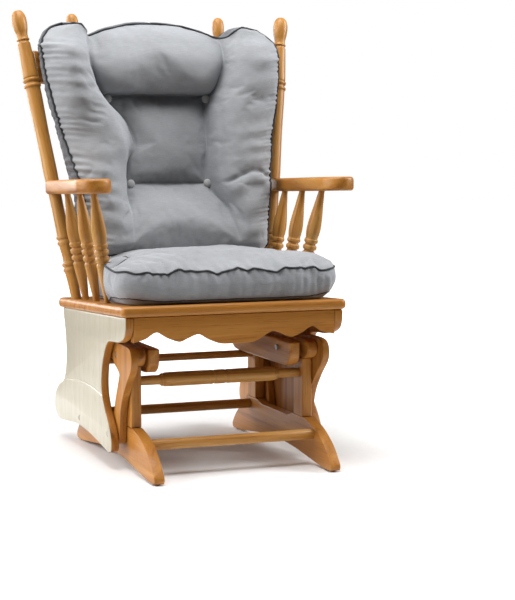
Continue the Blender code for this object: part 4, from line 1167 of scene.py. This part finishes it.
# ---- floor, light, camera ----
# the floor near the chair throws light back on it, and the far floor only fills the view
NEAR, FAR_X, FAR_FRONT, FAR_REAR = 1.2, 9.0, 7.0, 14.0
paper = Tree("pale_floor")
spots = paper.noise(paper.coord(), 60.0, 3.0)
out_x, out_y, _ = paper.axes(paper.coord())
squares = [paper.math("POWER", paper.math("ABSOLUTE", out), 2.0) for out in (out_x, out_y)]
distance = paper.math("POWER", paper.math("ADD", *squares), 0.5)
paper.set(Base_Color=paper.ramp(spots, [(0.3, (0.8, 0.8, 0.8)), (0.7, (0.83, 0.83, 0.83))]),
          Roughness=0.85, Emission_Color=(*WHITE, 1.0),
          Emission_Strength=paper.ramp(paper.math("MULTIPLY", distance, 0.2),
                                       [(0.16, (0.0, 0.0, 0.0)), (0.5, WHITE)]))


def ground(name, rectangles):
    """Flat piece of floor made of (low x, low y, high x, high y) rectangles."""
    mesh = bpy.data.meshes.new(name)
    corners = [(x, y, 0) for a, b, c, d in rectangles for x, y in ((a, b), (c, b), (c, d), (a, d))]
    mesh.from_pydata(corners, [], [range(n, n + 4) for n in range(0, len(corners), 4)])
    mesh.materials.append(paper.mat)
    ob = link(name, mesh)
    return ob


ground("floor", [(-NEAR, -NEAR, NEAR, NEAR)])
far_floor = ground("far_floor", [
    (-FAR_X, -FAR_FRONT, FAR_X, -NEAR), (-FAR_X, NEAR, FAR_X, FAR_REAR),
    (-FAR_X, -NEAR, -NEAR, NEAR), (NEAR, -NEAR, FAR_X, NEAR)])
far_floor.visible_diffuse = far_floor.visible_glossy = False

world = bpy.data.worlds.new("studio")
bpy.context.scene.world = world
world.use_nodes = True
wn, wl = world.node_tree.nodes, world.node_tree.links
both = wn.new("ShaderNodeMixShader")
wl.new(wn.new("ShaderNodeLightPath").outputs["Is Camera Ray"], both.inputs[0])
# the world's light, and what the camera sees behind the chair
for slot, back_light, colour, strength in (
        (1, wn["Background"], (0.93, 0.96, 1.0, 1.0), 0.06),
        (2, wn.new("ShaderNodeBackground"), (*WHITE, 1.0), 1.0)):
    back_light.inputs["Color"].default_value = colour
    back_light.inputs["Strength"].default_value = strength
    wl.new(back_light.outputs[0], both.inputs[slot])
wl.new(both.outputs[0], wn["World Output"].inputs["Surface"])


def aimed(ob, place, way):
    """Stand a light or camera at a place, looking along a direction."""
    ob.location = place
    ob.rotation_mode = "QUATERNION"
    ob.rotation_quaternion = way.to_track_quat("-Z", "Y")
    return ob


# name, place, height it is aimed at, width, height, watts
for name, place, aim_z, width, height, power in (
        ("top_light", (-0.4, -0.38, 3.1), 0.5, 2.2, 2.2, 112),
        ("left_light", (-3.0, 0.6, 1.6), 0.55, 2.6, 2.4, 112),
        ("right_light", (3.0, -0.5, 2.0), 0.7, 1.8, 1.8, 108),
        ("rim_light", (-1.7, 3.6, 1.5), 0.6, 1.6, 2.2, 75)):
    lamp = bpy.data.lights.new(name, "AREA")
    lamp.shape = "RECTANGLE"
    lamp.size, lamp.size_y = width, height
    lamp.energy = power
    aimed(link(name, lamp), place, Vector((0.0, 0.0, aim_z)) - Vector(place))

YAW, PITCH, FOCAL_PX, LONG_SIDE = math.radians(21.3565), math.radians(5.5665), 1663.78, 600
camera = bpy.data.cameras.new("camera")
camera.sensor_width = 36.0
camera.lens = 36.0 * FOCAL_PX / LONG_SIDE
look = Vector((math.sin(YAW) * math.cos(PITCH), math.cos(YAW) * math.cos(PITCH), -math.sin(PITCH)))
scene = bpy.context.scene
scene.camera = aimed(link("camera", camera), (-1.3132, -3.7298 - MIDDLE_Y, 0.7579), look)
scene.view_settings.view_transform = "Standard"
